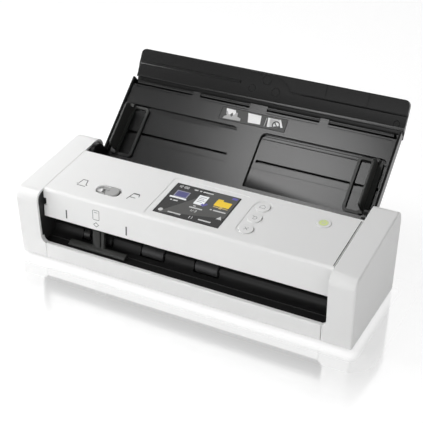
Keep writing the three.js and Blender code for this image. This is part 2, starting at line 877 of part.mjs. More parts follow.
// Lower paper path, listed from its front to its back
function lowerChuteLine() {
  const floorBackZ = slotFloorHeight - slotLipDrop + slotStepRise / 2;
  return [
    [slotFrontY + stripReturn + pieceGap, slotFloorHeight - slotLipDrop],
    [slotStepY, floorBackZ],
    ...arcPoints(slotCurveY, slotCurveZ, slotCurveRadius, slotCurveFromDeg, slotCurveToDeg, cornerSteps),
    ...arcPoints(slotEdgeY, slotEdgeZ, slotEdgeRadius, slotEdgeFromDeg, slotEdgeToDeg, cornerSteps),
    [pathFlatFrontY, pathFlatZ],
    [pathFlatBackY, pathFlatZ],
    [pathSplitY - pieceGap, pathSplitZ],
  ];
}

function rearChuteLine() {
  return [
    [pathSplitY, pathSplitZ],
    [pathFeedY, pathFeedZ],
    [pathRiseY, pathRiseZ],
    [pathThroatY, pathThroatZ],
    lidPoint(pathLidStart, -pathLidDepth),
    lidPoint(pathLidEnd, -pathLidDepth),
  ];
}

// Openings that let rollers through a chute
function rollerWindows(rollers, y, z, radius) {
  return rollers.map(([x, width]) => bar(
    radius + windowMargin, x - width / 2 - windowMargin, x + width / 2 + windowMargin, y, z));
}

function glassWindow(zMiddle) {
  return block(
    -glassHalfWidth - pieceGap, glassHalfWidth + pieceGap,
    glassFront - pieceGap, glassBack + pieceGap,
    zMiddle - cutOverrun, zMiddle + cutOverrun);
}

// Black chute that shows in the slot: floor, curved back with its rounded edge, and side walls
function lowerChuteGeometry() {
  const line = lowerChuteLine();
  const skin = prism(ribbon([...line].reverse(), chuteWall), -lowerChuteHalfWidth, lowerChuteHalfWidth);
  const legBottom = floorThickness + pieceGap;
  const legShape = [...line, [line[line.length - 1][0], legBottom], [line[0][0], legBottom]];
  const leg = prism(legShape, lowerChuteHalfWidth - chuteLegWall, lowerChuteHalfWidth);
  const shaftHole = bar(shaftRadius + shaftClearance, -halfWidth, halfWidth, ejectY, ejectZ, smallRoundSegments);
  return cut(
    join(skin, leg, mirrored(leg)),
    ...rollerWindows([...ejectRollers, ...cardRollers], ejectY, ejectZ, ejectRollerRadius),
    ...rollerWindows(feedRollers, feedY, feedZ, feedRollerRadius),
    glassWindow(pathFlatZ),
    shaftHole);
}

// Black throat floor that carries on from the open lid down to the feed rollers
function rearChuteGeometry() {
  const line = rearChuteLine();
  const skin = prism(ribbon([...line].reverse(), chuteWall), -rearChuteHalfWidth, rearChuteHalfWidth);
  const legBottom = floorThickness + pieceGap;
  const legTop = line.filter(([y]) => y < legBackY);
  const legShape = [...legTop, [legTop[legTop.length - 1][0], legBottom], [line[0][0], legBottom]];
  const leg = prism(legShape, rearChuteHalfWidth - chuteLegWall, rearChuteHalfWidth);
  const shaftHole = bar(shaftRadius + shaftClearance, -halfWidth, halfWidth, feedY, feedZ, smallRoundSegments);
  return cut(
    join(skin, leg, mirrored(leg)),
    ...rollerWindows(feedRollers, feedY, feedZ, feedRollerRadius),
    ...rollerWindows(pickRollers, pickY, pickZ, pickRollerRadius),
    shaftHole);
}

// Raised card ramp with the grooved post behind it
function cardGuideGeometry() {
  const frontY = slotFrontY + stripReturn + pieceGap;
  const backY = slotStepY - 2 * pieceGap;
  const bottomZ = slotFloorHeight + slotStepRise / 2 + pieceGap;
  const ramp = prism(
    [
      [frontY + cardGuideHeight / 2, bottomZ],
      [backY, bottomZ],
      [backY, bottomZ + cardGuideHeight],
      [frontY + cardGuideHeight, bottomZ + cardGuideHeight / 2],
    ],
    cardGuideLeft,
    cardGuideRight);
  const postFront = backY - cardPostDepth / 2;
  const upright = block(
    cardPostLeft, cardPostRight, postFront, postFront + cardPostDepth, bottomZ + cardGuideHeight / 2, cardPostTop);
  const grooveX = cardPostLeft + (cardPostRight - cardPostLeft) * cardPostGrooveShare;
  const groove = block(
    grooveX, grooveX + cardPostGroove, postFront - cutOverrun, postFront + cardPostGroove,
    bottomZ + cardGuideHeight, cardPostTop + cutOverrun);
  return cut(join(ramp, upright), groove);
}

// A rubber roller with its bore
function rollerGeometry(radius, boreRadius, x, width, y, z) {
  const x0 = x - width / 2;
  const x1 = x + width / 2;
  return cut(
    bar(radius, x0, x1, y, z),
    bar(boreRadius + shaftClearance, x0 - cutOverrun, x1 + cutOverrun, y, z, smallRoundSegments));
}

// A steel shaft that reaches through both side plates to its gear
function shaftGeometry([y, z]) {
  const left = -(sidePlateInnerX + sidePlate + shaftOverhang);
  return bar(shaftRadius, left, gearInnerX + gearWidth, y, z, smallRoundSegments);
}

// The two narrow discs moulded on the eject shaft for cards
function cardRollerDiscs() {
  return cardRollers.map(([x, width]) => bar(ejectRollerRadius, x - width / 2, x + width / 2, ejectY, ejectZ));
}

// A spur gear on an axis along X, with a round bore
function gearGeometry(teeth, [y, z], phase, boreRadius) {
  const gear = prism(gearCorners(teeth, gearModule, phase), gearInnerX, gearInnerX + gearWidth);
  gear.translate(0, y, z);
  return cut(gear, bar(boreRadius + shaftClearance, 0, halfWidth, y, z, smallRoundSegments));
}

// Motor body with the bore that its shaft turns in
function motorGeometry() {
  const [y, z] = motorPlace;
  const right = sidePlateInnerX - pieceGap;
  const can = bar(motorRadius, right - motorLength, right, y, z);
  return cut(can, bar(motorShaftRadius + shaftClearance, right - motorLength / 3, halfWidth, y, z, smallRoundSegments));
}

function motorPinionGeometry() {
  const [y, z] = motorPlace;
  const right = sidePlateInnerX - pieceGap;
  const gear = prism(gearCorners(motorTeeth, gearModule, motorPhase), gearInnerX, gearInnerX + gearWidth);
  gear.translate(0, y, z);
  return join(gear, bar(motorShaftRadius, right - motorLength / 4, gearInnerX + gearWidth, y, z, smallRoundSegments));
}

// Main board with its larger chips
const mainBoardBack = halfDepth - rearCoverWall - 2 * pieceGap;
const portBottom = mainBoardHeight + boardThickness + pieceGap;
const chipShares = [[0.18, 0.3, 0.12, 0.34], [0.42, 0.28, 0.08, 0.24], [0.7, 0.35, 0.16, 0.3]];
const chipHeight = 1.6;

function mainBoardGeometry() {
  const width = mainBoardRight - mainBoardLeft;
  const depth = mainBoardBack - mainBoardFront;
  const top = mainBoardHeight + boardThickness;
  const chips = chipShares.map(([x, y, w, d]) => block(
    mainBoardLeft + x * width, mainBoardLeft + (x + w) * width,
    mainBoardFront + y * depth, mainBoardFront + (y + d) * depth,
    top - boardThickness / 2, top + chipHeight));
  const plate = block(mainBoardLeft, mainBoardRight, mainBoardFront, mainBoardBack, mainBoardHeight, top);
  return join(plate, ...chips);
}

// A socket shell on the main board that opens to the back, with a tongue inside
function portGeometry(x, width, height, tongue) {
  const backY = halfDepth - portInset;
  const shell = block(x - width / 2, x + width / 2, backY - portDepth, backY, portBottom, portBottom + height);
  const cavity = block(
    x - width / 2 + portShell, x + width / 2 - portShell,
    backY - socketDepth, backY + cutOverrun,
    portBottom + portShell, portBottom + height - portShell);
  const middle = portBottom + height / 2;
  const tab = block(
    x - width / 4, x + width / 4,
    backY - socketDepth - portShell, backY - portShell,
    middle - tongue / 2, middle + tongue / 2);
  return join(cut(shell, cavity), tab);
}

// A round bar along Y
function rod(radius, x, z, y0, y1, segments = smallRoundSegments) {
  const geometry = new THREE.CylinderGeometry(radius, radius, y1 - y0, segments);
  geometry.translate(x, (y0 + y1) / 2, z);
  return geometry;
}

function powerInletGeometry() {
  const backY = halfDepth - portInset;
  const middle = portBottom + inletHeight / 2;
  const body = block(
    inletX - inletWidth / 2, inletX + inletWidth / 2,
    backY - portDepth, backY, portBottom, portBottom + inletHeight);
  const socket = rod(inletBore, inletX, middle, backY - socketDepth, backY + cutOverrun);
  const contact = rod(inletPin, inletX, middle, backY - socketDepth - portShell, backY - portShell);
  return join(cut(body, socket), contact);
}

function lowerScanBarGeometry() {
  const top = pathFlatZ - chuteWall - pieceGap;
  return block(-barHalfWidth, barHalfWidth, barFront, barBack, top - barHeight, top);
}

function upperScanBarGeometry() {
  const bottom = pathFlatZ + upperPathGap + chuteWall + pieceGap;
  return block(-barHalfWidth, barHalfWidth, barFront, barBack, bottom, bottom + barHeight);
}

function scanGlassGeometry(z0) {
  return block(-glassHalfWidth, glassHalfWidth, glassFront, glassBack, z0, z0 + glassThickness);
}

// Front cover
const creaseZ = bodyTopZ(coverFrontY);
const separationPlace = [
  pickY - Math.sin(lidLean) * (pickRollerRadius + separationRollerRadius + rollerContactGap),
  pickZ + Math.cos(lidLean) * (pickRollerRadius + separationRollerRadius + rollerContactGap),
];

// Moves a geometry from the control panel's own frame to the body's frame
function onPanel(geometry) {
  geometry.rotateX(topSlope);
  geometry.translate(0, coverFrontY, creaseZ);
  return geometry;
}

// A point of the panel's side view, along the panel and out of it
function panelPoint(along, out) {
  return [
    coverFrontY + along * Math.cos(topSlope) - out * Math.sin(topSlope),
    creaseZ + along * Math.sin(topSlope) + out * Math.cos(topSlope),
  ];
}

function coverShell() {
  const innerFrontY = coverFrontY + coverWall;
  const innerCreaseZ = creaseZ + coverWall * topRise - coverWall / Math.cos(topSlope);
  return prism(
    [
      [coverFrontY, coverFaceBottom, coverEdgeRadius],
      [coverFrontY, creaseZ, coverCreaseRadius],
      [...panelPoint(coverLength, 0), coverEdgeRadius],
      panelPoint(coverLength, -coverBackLip),
      panelPoint(coverLength - coverWall, -coverBackLip),
      panelPoint(coverLength - coverWall, -coverWall),
      [innerFrontY, innerCreaseZ],
      [innerFrontY, coverFaceBottom + coverWall],
      [coverFrontY + coverBottomLip, coverFaceBottom + coverWall],
      [coverFrontY + coverBottomLip, coverFaceBottom],
    ],
    -coverHalfWidth,
    coverHalfWidth,
  );
}

// The inner side rib that the cover pivots on
function coverRib() {
  const ribOuter = coverHalfWidth - coverRibInset;
  const rib = prism(
    [
      [coverFrontY + coverWall / 2, coverRibBottom],
      [coverFrontY + coverRibFoot, coverRibBottom],
      panelPoint(coverLength - coverWall, -coverBackLip - coverWall),
      panelPoint(coverLength - coverWall, -coverWall / 2),
      panelPoint(coverWall / 2, -coverWall / 2),
    ],
    ribOuter - coverRibWall,
    ribOuter,
  );
  return cut(rib, bar(
    coverPivotRadius + shaftClearance, 0, halfWidth, coverPivotY, coverPivotZ, smallRoundSegments));
}

const stadiumRoundShare = 0.998;

// A stadium outline around a middle point
function stadium(x, y, length, width) {
  const reach = length / 2;
  const radius = (width / 2) * stadiumRoundShare;
  return rectangle(x - reach, x + reach, y - width / 2, y + width / 2, radius);
}

// Cuts for the screen, buttons and lever, in the panel's own frame
function panelCuts() {
  const through = (corners) => slab(corners, -coverWall - cutOverrun, cutOverrun);
  const shallow = (corners, depth) => slab(corners, -depth, cutOverrun);
  const buttonSpan = buttonRows[0] - buttonRows[buttonRows.length - 1];
  const buttonMid = (buttonRows[0] + buttonRows[buttonRows.length - 1]) / 2;
  const laneWidth = 2 * (buttonRadius + buttonPanelMargin);
  const lane = stadium(0, 0, buttonSpan + laneWidth, laneWidth).map(([a, b, r]) => [buttonX - b, buttonMid + a, r]);
  const buttonHole = (x, along) => post(
    buttonRadius + shaftClearance, x, along, -coverWall - cutOverrun, cutOverrun);
  const slotStart = leverKnobX - leverTravel - leverStemWidth / 2 - pieceGap;
  const slotEnd = leverKnobX + leverStemWidth / 2 + pieceGap;
  const slotHalf = leverStemDepth / 2 + pieceGap;
  return [
    through(rectangle(
      -screenHalfWidth - pieceGap, screenHalfWidth + pieceGap, screenNear - pieceGap, screenFar + pieceGap)),
    shallow(rectangle(
      -screenHalfWidth - bezelMargin, screenHalfWidth + bezelMargin,
      screenNear - bezelMargin, screenFar + bezelMargin, bezelMargin / 2), bezelDepth),
    shallow(lane, buttonPanelDepth),
    ...buttonRows.map((along) => buttonHole(buttonX, along)),
    buttonHole(powerX, powerAt),
    shallow(stadium(leverX, leverAt, leverRecessLength, leverRecessWidth), leverRecessDepth),
    through(rectangle(slotStart, slotEnd, leverAt - slotHalf, leverAt + slotHalf)),
  ];
}

function frontCoverGeometry() {
  const rib = coverRib();
  const body = join(coverShell(), rib, mirrored(rib));
  const notchInner = coverHalfWidth - coverRibInset;
  const notch = block(
    notchInner, halfWidth, coverFrontY - cutOverrun, coverFrontY + coverWall + pieceGap,
    coverPivotZ - notchHeight / 2, coverPivotZ + notchHeight / 2);
  return cut(body, notch, mirrored(notch), ...panelCuts().map(onPanel));
}

// Upper paper guide, listed from the slot's lip to the throat
function upperChuteLine() {
  const flatZ = pathFlatZ + upperPathGap;
  return [
    [coverFrontY + coverBottomLip + 2 * pieceGap, upperLipZ],
    [upperRampY, upperRampZ],
    [upperFlatY, flatZ],
    [pathFlatBackY, flatZ],
    [upperRiseY, upperRiseZ],
    [upperBendY, upperBendZ],
    [upperNipY, upperNipZ],
    [upperWallY, upperWallZ],
    [upperEndY, upperEndZ],
  ];
}

function upperChuteGeometry() {
  const half = coverHalfWidth - coverRibInset - coverRibWall - 2 * pieceGap;
  const skin = prism(ribbon(upperChuteLine(), chuteWall), -half, half);
  const [y, z] = separationPlace;
  const tabStart = separationWidth / 2 + windowMargin + pieceGap;
  const window = bar(
    separationRollerRadius + windowMargin, -separationWidth / 2 - windowMargin,
    separationWidth / 2 + windowMargin, y, z);
  const tab = bar(separationTabRadius, tabStart, tabStart + separationTabWall, y, z, smallRoundSegments);
  const bore = bar(separationShaftRadius + shaftClearance, -halfWidth, halfWidth, y, z, smallRoundSegments);
  const body = cut(join(skin, tab, mirrored(tab)), window, bore);
  return cut(body, glassWindow(pathFlatZ + upperPathGap));
}

// Pieces of the control panel, in the panel's own frame
function screenGlassGeometry() {
  const top = -bezelDepth / 3;
  return slab(rectangle(-screenHalfWidth, screenHalfWidth, screenNear, screenFar, pieceGap), top - screenGlass, top);
}

function screenModuleGeometry() {
  const top = -coverWall - pieceGap;
  return block(
    -screenHalfWidth - moduleMargin, screenHalfWidth + moduleMargin,
    screenNear - moduleMargin, screenFar + moduleMargin, top - moduleThickness, top);
}

function switchTop() {
  return -buttonStemEnd - buttonTravel - switchGap;
}

function panelBoardGeometry() {
  const plate = block(boardLeft, boardRight, boardNear, boardFar, -boardDrop - boardThickness, -boardDrop);
  const switches = [...buttonRows.map((along) => [buttonX, along]), [powerX, powerAt]].map(([x, along]) =>
    post(switchRadius, x, along, -boardDrop - boardThickness / 2, switchTop(), smallRoundSegments));
  return join(plate, ...switches);
}

// A round button with its retaining flange and the stem above its switch
function buttonGeometry(x, along) {
  const flangeTop = -coverWall - pieceGap;
  const cap = post(buttonRadius, x, along, flangeTop - buttonFlangeThickness / 2, buttonRise);
  const flange = post(buttonRadius + buttonFlange, x, along, flangeTop - buttonFlangeThickness, flangeTop);
  const stem = post(buttonStemRadius, x, along, -buttonStemEnd, flangeTop, smallRoundSegments);
  return join(cap, flange, stem);
}

// Sliding lever: knob with a rib, stem through the slot and a foot below the cover
function leverGeometry() {
  const seat = -leverRecessDepth + pieceGap;
  const knobWidth = leverRecessWidth - 2 * pieceGap;
  const knob = slab(
    rectangle(
      leverKnobX - leverKnobLength / 2, leverKnobX + leverKnobLength / 2,
      leverAt - knobWidth / 2, leverAt + knobWidth / 2, leverKnobRadius),
    seat, leverKnobRise);
  const ribX = leverKnobX - leverKnobLength / 2 + leverRibWidth;
  const rib = block(
    ribX, ribX + leverRibWidth, leverAt - knobWidth / 2 + leverKnobRadius, leverAt + knobWidth / 2 - leverKnobRadius,
    leverKnobRise / 2, leverKnobRise + leverRibRise);
  const footTop = -coverWall - pieceGap;
  const stem = block(
    leverKnobX - leverStemWidth / 2, leverKnobX + leverStemWidth / 2,
    leverAt - leverStemDepth / 2, leverAt + leverStemDepth / 2, footTop - leverFootThickness / 2, leverKnobRise / 2);
  const foot = block(
    leverKnobX - leverFootWidth / 2, leverKnobX + leverFootWidth / 2,
    leverAt - leverFootDepth / 2, leverAt + leverFootDepth / 2, footTop - leverFootThickness, footTop);
  return join(knob, rib, stem, foot);
}

// Lid pieces, in the lid's own frame: X, along the lid, out of its inner face
const shellInner = -lidThickness + lidShellWall;
const bayFloor = -bayDepth - bayFloorWall;
const rackTop = bayFloor - pieceGap;
const rackBottom = rackTop - rackThickness;
const earInnerX = lidHalfWidth - earWall;

// Ear that carries the lid's moulded hinge pin
function earGeometry() {
  const ear = prism(
    [
      ...arcPoints(pivotAlong, pivotOut, earRadius, 0, earArcDeg, 2 * cornerSteps),
      [-lidTail, -lidThickness],
      [earRoot, -lidThickness],
      [earRoot, 0],
      [pivotAlong + earRadius, 0],
    ],
    earInnerX,
    lidHalfWidth,
  );
  const pin = bar(
    lidPinRadius, lidHalfWidth - earWall / 2, lidHalfWidth + lidPinReach, pivotAlong, pivotOut, smallRoundSegments);
  return join(ear, pin);
}

function lidShellGeometry() {
  const notchHalf = barrelEnd + 2 * barrelGap;
  const back = slab(
    [
      [-lidHalfWidth, -lidTail, lidShellWall],
      [lidHalfWidth, -lidTail, lidShellWall],
      [lidHalfWidth, lidShellTop],
      [notchHalf, lidShellTop],
      [notchHalf, lidBackTop],
      [-notchHalf, lidBackTop],
      [-notchHalf, lidShellTop],
      [-lidHalfWidth, lidShellTop],
    ],
    -lidThickness, shellInner);
  const wall = block(
    lidHalfWidth - lidRimWidth, lidHalfWidth, lidPanelStart, lidShellTop, -lidThickness, lidRimRise);
  const side = join(wall, earGeometry());
  const pinionPin = post(pinionPinRadius, 0, channelAt, shellInner - lidShellWall / 2, rackTop, smallRoundSegments);
  return join(back, side, mirrored(side), pinionPin);
}

// The three lugs that carry the flap's hinge pin
function lugSpans() {
  return [[-sideLugOuter, -sideLugInner], [-centreLugHalf, centreLugHalf], [sideLugInner, sideLugOuter]];
}

function lidPanelGeometry() {
  const half = lidHalfWidth - lidRimWidth - pieceGap;
  const plate = block(-half, half, lidPanelStart, lidPanelTop, bayFloor, 0);
  const lugs = lugSpans().map(([x0, x1]) => join(
    block(x0, x1, lidPanelTop - lugRadius, flapHingeAt + lugFlat, bayFloor, 0),
    bar(lugRadius, x0, x1, flapHingeAt, -flapHingeDepth, smallRoundSegments)));
  const bay = slab(
    [
      [bayInnerX, bayBottom],
      [bayOuterX, bayBottom],
      [bayOuterX, bayTop, bayCornerRadius],
      [bayInnerX, bayTop, bayCornerRadius],
    ],
    -bayDepth, cutOverrun);
  const channel = block(
    bayInnerX + rackBack, bayOuterX - guideFootHalf, channelAt - channelWidth / 2, channelAt + channelWidth / 2,
    -lidThickness, cutOverrun);
  const earNotch = block(
    earInnerX - pieceGap, lidHalfWidth, lidPanelStart - cutOverrun, earRoot + pieceGap, -lidThickness, cutOverrun);
  const plateSeat = block(
    plateLeft - pieceGap, plateRight + pieceGap, plateBottom - pieceGap, plateTop + pieceGap,
    -plateRecess, cutOverrun);
  const pinBore = bar(
    flapPinRadius + shaftClearance, -halfWidth, halfWidth, flapHingeAt, -flapHingeDepth, smallRoundSegments);
  const windowLines = barrelSpans().map(([x0, x1]) => block(
    x0, x1, windowLineAt, windowLineAt + windowLineWidth, -windowLineDepth, cutOverrun));
  return cut(
    join(plate, ...lugs), bay, mirrored(bay), channel, mirrored(channel), earNotch, mirrored(earNotch),
    plateSeat, pinBore, ...windowLines);
}

function iconPlateGeometry() {
  const bottom = -plateRecess + pieceGap;
  return slab(rectangle(plateLeft, plateRight, plateBottom, plateTop, lidShellWall), bottom, bottom + plateThickness);
}

// Rack below the panel, toothed towards the pinion, for the left guide
function rackGeometry() {
  const pitch = Math.PI * pinionModule;
  const pitchLine = channelAt + (pinionTeeth * pinionModule) / 2;
  const tipLine = pitchLine - toothTipShare * pinionModule;
  const rootLine = pitchLine + toothRootShare * pinionModule;
  const backLine = rootLine + rackBack;
  const x0 = -guideOuterX + guideFootInset;
  const corners = [[rackReach, rootLine], [rackReach, backLine], [x0, backLine], [x0, rootLine]];
  const first = Math.ceil(rackTeethStart / pitch);
  const last = Math.floor((rackReach - pitch) / pitch);
  for (let k = first; k < last; k += 1) {
    const middle = (k + 1 / 2) * pitch;
    corners.push([middle - toothBaseShare * pitch, rootLine]);
    corners.push([middle - toothCrestShare * pitch, tipLine]);
    corners.push([middle + toothCrestShare * pitch, tipLine]);
    corners.push([middle + toothBaseShare * pitch, rootLine]);
  }
  return slab(corners, rackBottom, rackTop);
}

// Left guide: a flat open loop in the bay, two pin lugs, and the foot and rack below the panel
function leftGuideGeometry() {
  const plateZ0 = -bayDepth + pieceGap;
  const plateZ1 = plateZ0 + guidePlate;
  const loop = cut(
    slab(rectangle(-guideOuterX, -guideInnerX, guideBottom, guideTop, guideCornerRadius), plateZ0, plateZ1),
    slab(
      rectangle(
        -guideOuterX + guideBand, -guideInnerX - guideBar,
        guideBottom + guideBar, guideTop - guideBar, guideCornerRadius / 2),
      plateZ0 - cutOverrun, plateZ1 + cutOverrun));
  const lugTop = guideWallAxis + guideLugHalf;
  const lugs = [guideBottom, guideTop - guideLugLength].map((start) => cut(
    block(
      -guideWallX - guideLugHalf, -guideWallX + guideLugHalf, start, start + guideLugLength, plateZ0, lugTop),
    rod(guidePinRadius + shaftClearance, -guideWallX, guideWallAxis, start - cutOverrun, start + guideLugLength + cutOverrun)));
  const linkX0 = -guideOuterX + guideFootInset;
  const linkX1 = -guideOuterX + guideBand - guideFootInset;
  const foot = block(linkX0, linkX1, channelAt - guideFootHalf, channelAt + guideFootHalf, rackBottom, plateZ1 - pieceGap);
  const rootLine = channelAt + (pinionTeeth * pinionModule) / 2 + toothRootShare * pinionModule;
  const link = block(linkX0, linkX1, channelAt - guideFootHalf, rootLine + rackBack / 2, rackBottom, rackTop);
  return join(loop, ...lugs, foot, link, rackGeometry());
}

// Right guide: the mirrored loop and foot, with its rack turned half round the pinion
function rightGuideGeometry() {
  const left = toSolid(leftGuideGeometry());
  const below = toSolid(block(-bodyWidth, bodyWidth, -bodyWidth, bodyWidth, -bodyWidth, rackTop + pieceGap / 2));
  const above = toGeometry(left.subtract(below));
  const rack = toGeometry(left.intersect(below));
  rack.translate(0, -channelAt, 0);
  rack.rotateZ(Math.PI);
  rack.translate(0, channelAt, 0);
  return join(mirrored(above), rack);
}

// The upright fence of the left guide, with a pin at each end of its foot
function leftFenceGeometry() {
  const start = guideBottom + guideLugLength + pieceGap;
  const end = guideTop - guideLugLength - pieceGap;
  const half = guideWallThickness / 2;
  const bottom = guideWallAxis - guideWallFoot;
  const top = guideWallAxis + guideWallHeight;
  const fence = prism(
    [[start, bottom], [end, bottom], [end, top, guideWallCornerRadius], [start, top, guideWallCornerRadius]],
    -guideWallX - half, -guideWallX + half);
  return join(
    fence,
    rod(guidePinRadius, -guideWallX, guideWallAxis, start - guidePinLength, start + guidePinLength),
    rod(guidePinRadius, -guideWallX, guideWallAxis, end - guidePinLength, end + guidePinLength));
}

function pinionGeometry() {
  const gear = slab(gearCorners(pinionTeeth, pinionModule, 0), rackBottom, rackTop);
  const wheel = cut(gear, post(pinionPinRadius + shaftClearance, 0, 0, rackBottom - cutOverrun, rackTop + cutOverrun, smallRoundSegments));
  wheel.translate(0, channelAt, 0);
  return wheel;
}

function flapPinGeometry() {
  return bar(flapPinRadius, -barrelEnd + flapPinRadius, barrelEnd - flapPinRadius, flapHingeAt, -flapHingeDepth, smallRoundSegments);
}

// Flap pieces, in the flap's own frame: X, along the flap, out of its inner face
function barrelSpans() {
  const inner = [centreLugHalf + barrelGap, sideLugInner - barrelGap];
  const outer = [sideLugOuter + barrelGap, barrelEnd];
  return [inner, outer, inner.map((x) => -x).reverse(), outer.map((x) => -x).reverse()];
}

// The flap's plate: its face is set back behind the hinge and flares out to a lip, and a thin tail reaches
// down behind the lid
function flapPlate() {
  const profile = prism(
    [
      [-flapTail, flapOuter],
      [flapHeight, flapOuter, flapTopRound / 2],
      [flapHeight, flapInner, flapTopRound],
      [flapFlareAt, flapInner],
      [flapLipAt, flapInner + flapFlare, flapLipRadius],
      [flapLipAt, flapOuter + flapTailWall],
      [-flapTail, flapOuter + flapTailWall],
    ],
    -flapHalfWidth, flapHalfWidth);
  const front = slab(
    [
      [-flapHalfWidth, -flapTail, flapTail / 2],
      [flapHalfWidth, -flapTail, flapTail / 2],
      [flapHalfWidth, flapHeight, flapCornerRadius],
      [-flapHalfWidth, flapHeight, flapCornerRadius],
    ],
    flapOuter - cutOverrun, flapInner + flapFlare + cutOverrun);
  const nub = block(
    -flapHalfWidth - flapNubReach, -flapHalfWidth + flapNubReach,
    flapNubAt - flapNubLength / 2, flapNubAt + flapNubLength / 2,
    flapOuter, flapOuter + flapNubWidth);
  return join(common(profile, front), nub);
}

function flapGeometry() {
  const barrels = barrelSpans().map(([x0, x1]) => join(
    bar(flapBarrelRadius, x0, x1, 0, 0, smallRoundSegments),
    block(x0, x1, -flapWeb / 2, flapWeb / 2, flapOuter + flapTailWall / 2, 0)));
  const armSeam = armPivotAt - armHalfHeight - armClearance;
  const pocketFloor = flapInner - armThickness - pieceGap;
  const roomEnd = flapHalfWidth + cutOverrun;
  const rootRoom = slab(
    rectangle(armPivotX - armHalfHeight - armClearance, roomEnd, armSeam, flapHeight + cutOverrun),
    pocketFloor, flapInner - armSkin);
  const openRoom = cut(
    slab(rectangle(armPivotX, roomEnd, armSeam, flapHeight + cutOverrun), pocketFloor, flapInner + cutOverrun),
    ...armSkinRounds(0));
  const grooveFloor = flapInner - grooveDepth;
  const leftGroove = block(
    -roomEnd, -grooveEnd, armSeam - grooveBelow, armSeam + grooveAbove, grooveFloor, flapInner + cutOverrun);
  const rightGroove = cut(
    block(armPivotX, roomEnd, armSeam - grooveBelow, armSeam + cutOverrun, grooveFloor, flapInner + cutOverrun),
    ...armSkinRounds(0));
  const bore = bar(flapPinRadius + shaftClearance, -halfWidth, halfWidth, 0, 0, smallRoundSegments);
  const body = cut(join(flapPlate(), ...barrels), rootRoom, openRoom, leftGroove, rightGroove, bore);
  const armPin = post(
    armPinRadius - shaftClearance, armPivotX, armPivotAt, pocketFloor - pieceGap,
    flapInner - armSkin / 2, smallRoundSegments);
  return join(body, armPin);
}

// The two rounds that bound the flap's skin above the arm's root, grown by a gap
function armSkinRounds(gap) {
  const z0 = flapOuter - cutOverrun;
  const z1 = flapInner + 2 * cutOverrun;
  return [
    post(armArcRadius + gap, armArcX, armArcAt, z0, z1, 2 * roundSegments),
    post(armHeelRadius + gap, armPivotX, armPivotAt, z0, z1),
  ];
}

// Flat arm: a thin root round the pivot, and a thick blade that starts where the flap's skin ends
function supportArmGeometry() {
  const bottom = flapInner - armThickness;
  const low = armPivotAt - armHalfHeight;
  const high = armPivotAt + armHalfHeight;
  const end = [[armReach, low, flapTopRound / 2], [armReach, high, flapCornerRadius]];
  const root = slab(
    [...arcPoints(armPivotX, armPivotAt, armHalfHeight, 90, 270, 2 * cornerSteps), ...end],
    bottom, flapInner - armSkin - pieceGap);
  const blade = cut(
    slab([[armPivotX, low], ...end, [armPivotX, high]], bottom, flapInner),
    ...armSkinRounds(armClearance));
  return cut(
    join(root, blade),
    post(armPinRadius, armPivotX, armPivotAt, bottom - cutOverrun, flapInner, smallRoundSegments));
}

// Assembly
const scanner = new THREE.Group();

function addBody() {
  const cap = endCapGeometry();
  scanner.add(mesh('right_end_cap', cap, 'white'));
  scanner.add(mesh('left_end_cap', mirrored(cap), 'white'));
  scanner.add(mesh('front_strip', frontStripGeometry(), 'white'));
  scanner.add(mesh('rear_cover', rearCoverGeometry(), 'white'));
  scanner.add(mesh('base_frame', baseFrameGeometry(), 'chute'));
  scanner.add(mesh('lower_chute', lowerChuteGeometry(), 'chute'));
  scanner.add(mesh('rear_chute', rearChuteGeometry(), 'chute'));
  scanner.add(mesh('card_guide', cardGuideGeometry(), 'guide'));
  scanner.add(mesh('lower_scan_bar', lowerScanBarGeometry(), 'black'));
  scanner.add(mesh('lower_scan_glass', scanGlassGeometry(pathFlatZ - glassThickness), 'clearGlass'));
  scanner.add(mesh('main_board', mainBoardGeometry(), 'board'));
  scanner.add(mesh('host_port', portGeometry(hostPortX, hostPortWidth, hostPortHeight, portTongue), 'steel'));
  scanner.add(mesh('usb_port', portGeometry(usbPortX, usbPortWidth, usbPortHeight, portShell), 'steel'));
  scanner.add(mesh('power_inlet', powerInletGeometry(), 'black'));
  scanner.add(mesh('left_cap_screw', capScrewGeometry(-screwX), 'steel'));
  scanner.add(mesh('right_cap_screw', capScrewGeometry(screwX), 'steel'));
  const footNames = ['foot_front_left', 'foot_rear_left', 'foot_front_right', 'foot_rear_right'];
  footPlaces().forEach(([x, y], i) => {
    scanner.add(mesh(footNames[i], post(footRadius, x, y, -footDrop, footSink), 'rubber'));
  });
}

function addDrive() {
  const trains = [
    ['feed', feedPlace, feedRollers, feedRollerRadius, feedTeeth, 0],
    ['pick', pickPlace, pickRollers, pickRollerRadius, pickTeeth, pickPhase],
    ['eject', ejectPlace, ejectRollers, ejectRollerRadius, ejectTeeth, ejectPhase],
  ];
  for (const [name, place, rollers, radius, teeth, phase] of trains) {
    const shaft = shaftGeometry(place);
    const moulded = name === 'eject' ? cardRollerDiscs() : [];
    scanner.add(mesh(`${name}_shaft`, join(shaft, ...moulded), 'steel'));
    scanner.add(mesh(`${name}_gear`, gearGeometry(teeth, place, phase, shaftRadius), 'gear'));
    rollers.forEach(([x, width], i) => {
      const side = i === 0 ? 'left' : 'right';
      scanner.add(mesh(`${name}_roller_${side}`, rollerGeometry(radius, shaftRadius, x, width, ...place), 'rubber'));
    });
  }
  scanner.add(mesh('pick_idler_gear', gearGeometry(pickIdlerTeeth, pickIdlerPlace, pickIdlerPhase, idlerPinRadius), 'gear'));
  scanner.add(mesh(
    'eject_idler_gear', gearGeometry(ejectIdlerTeeth, ejectIdlerPlace, ejectIdlerPhase, idlerPinRadius), 'gear'));
  scanner.add(mesh('feed_motor', motorGeometry(), 'steel'));
  scanner.add(mesh('motor_pinion', motorPinionGeometry(), 'steel'));
}

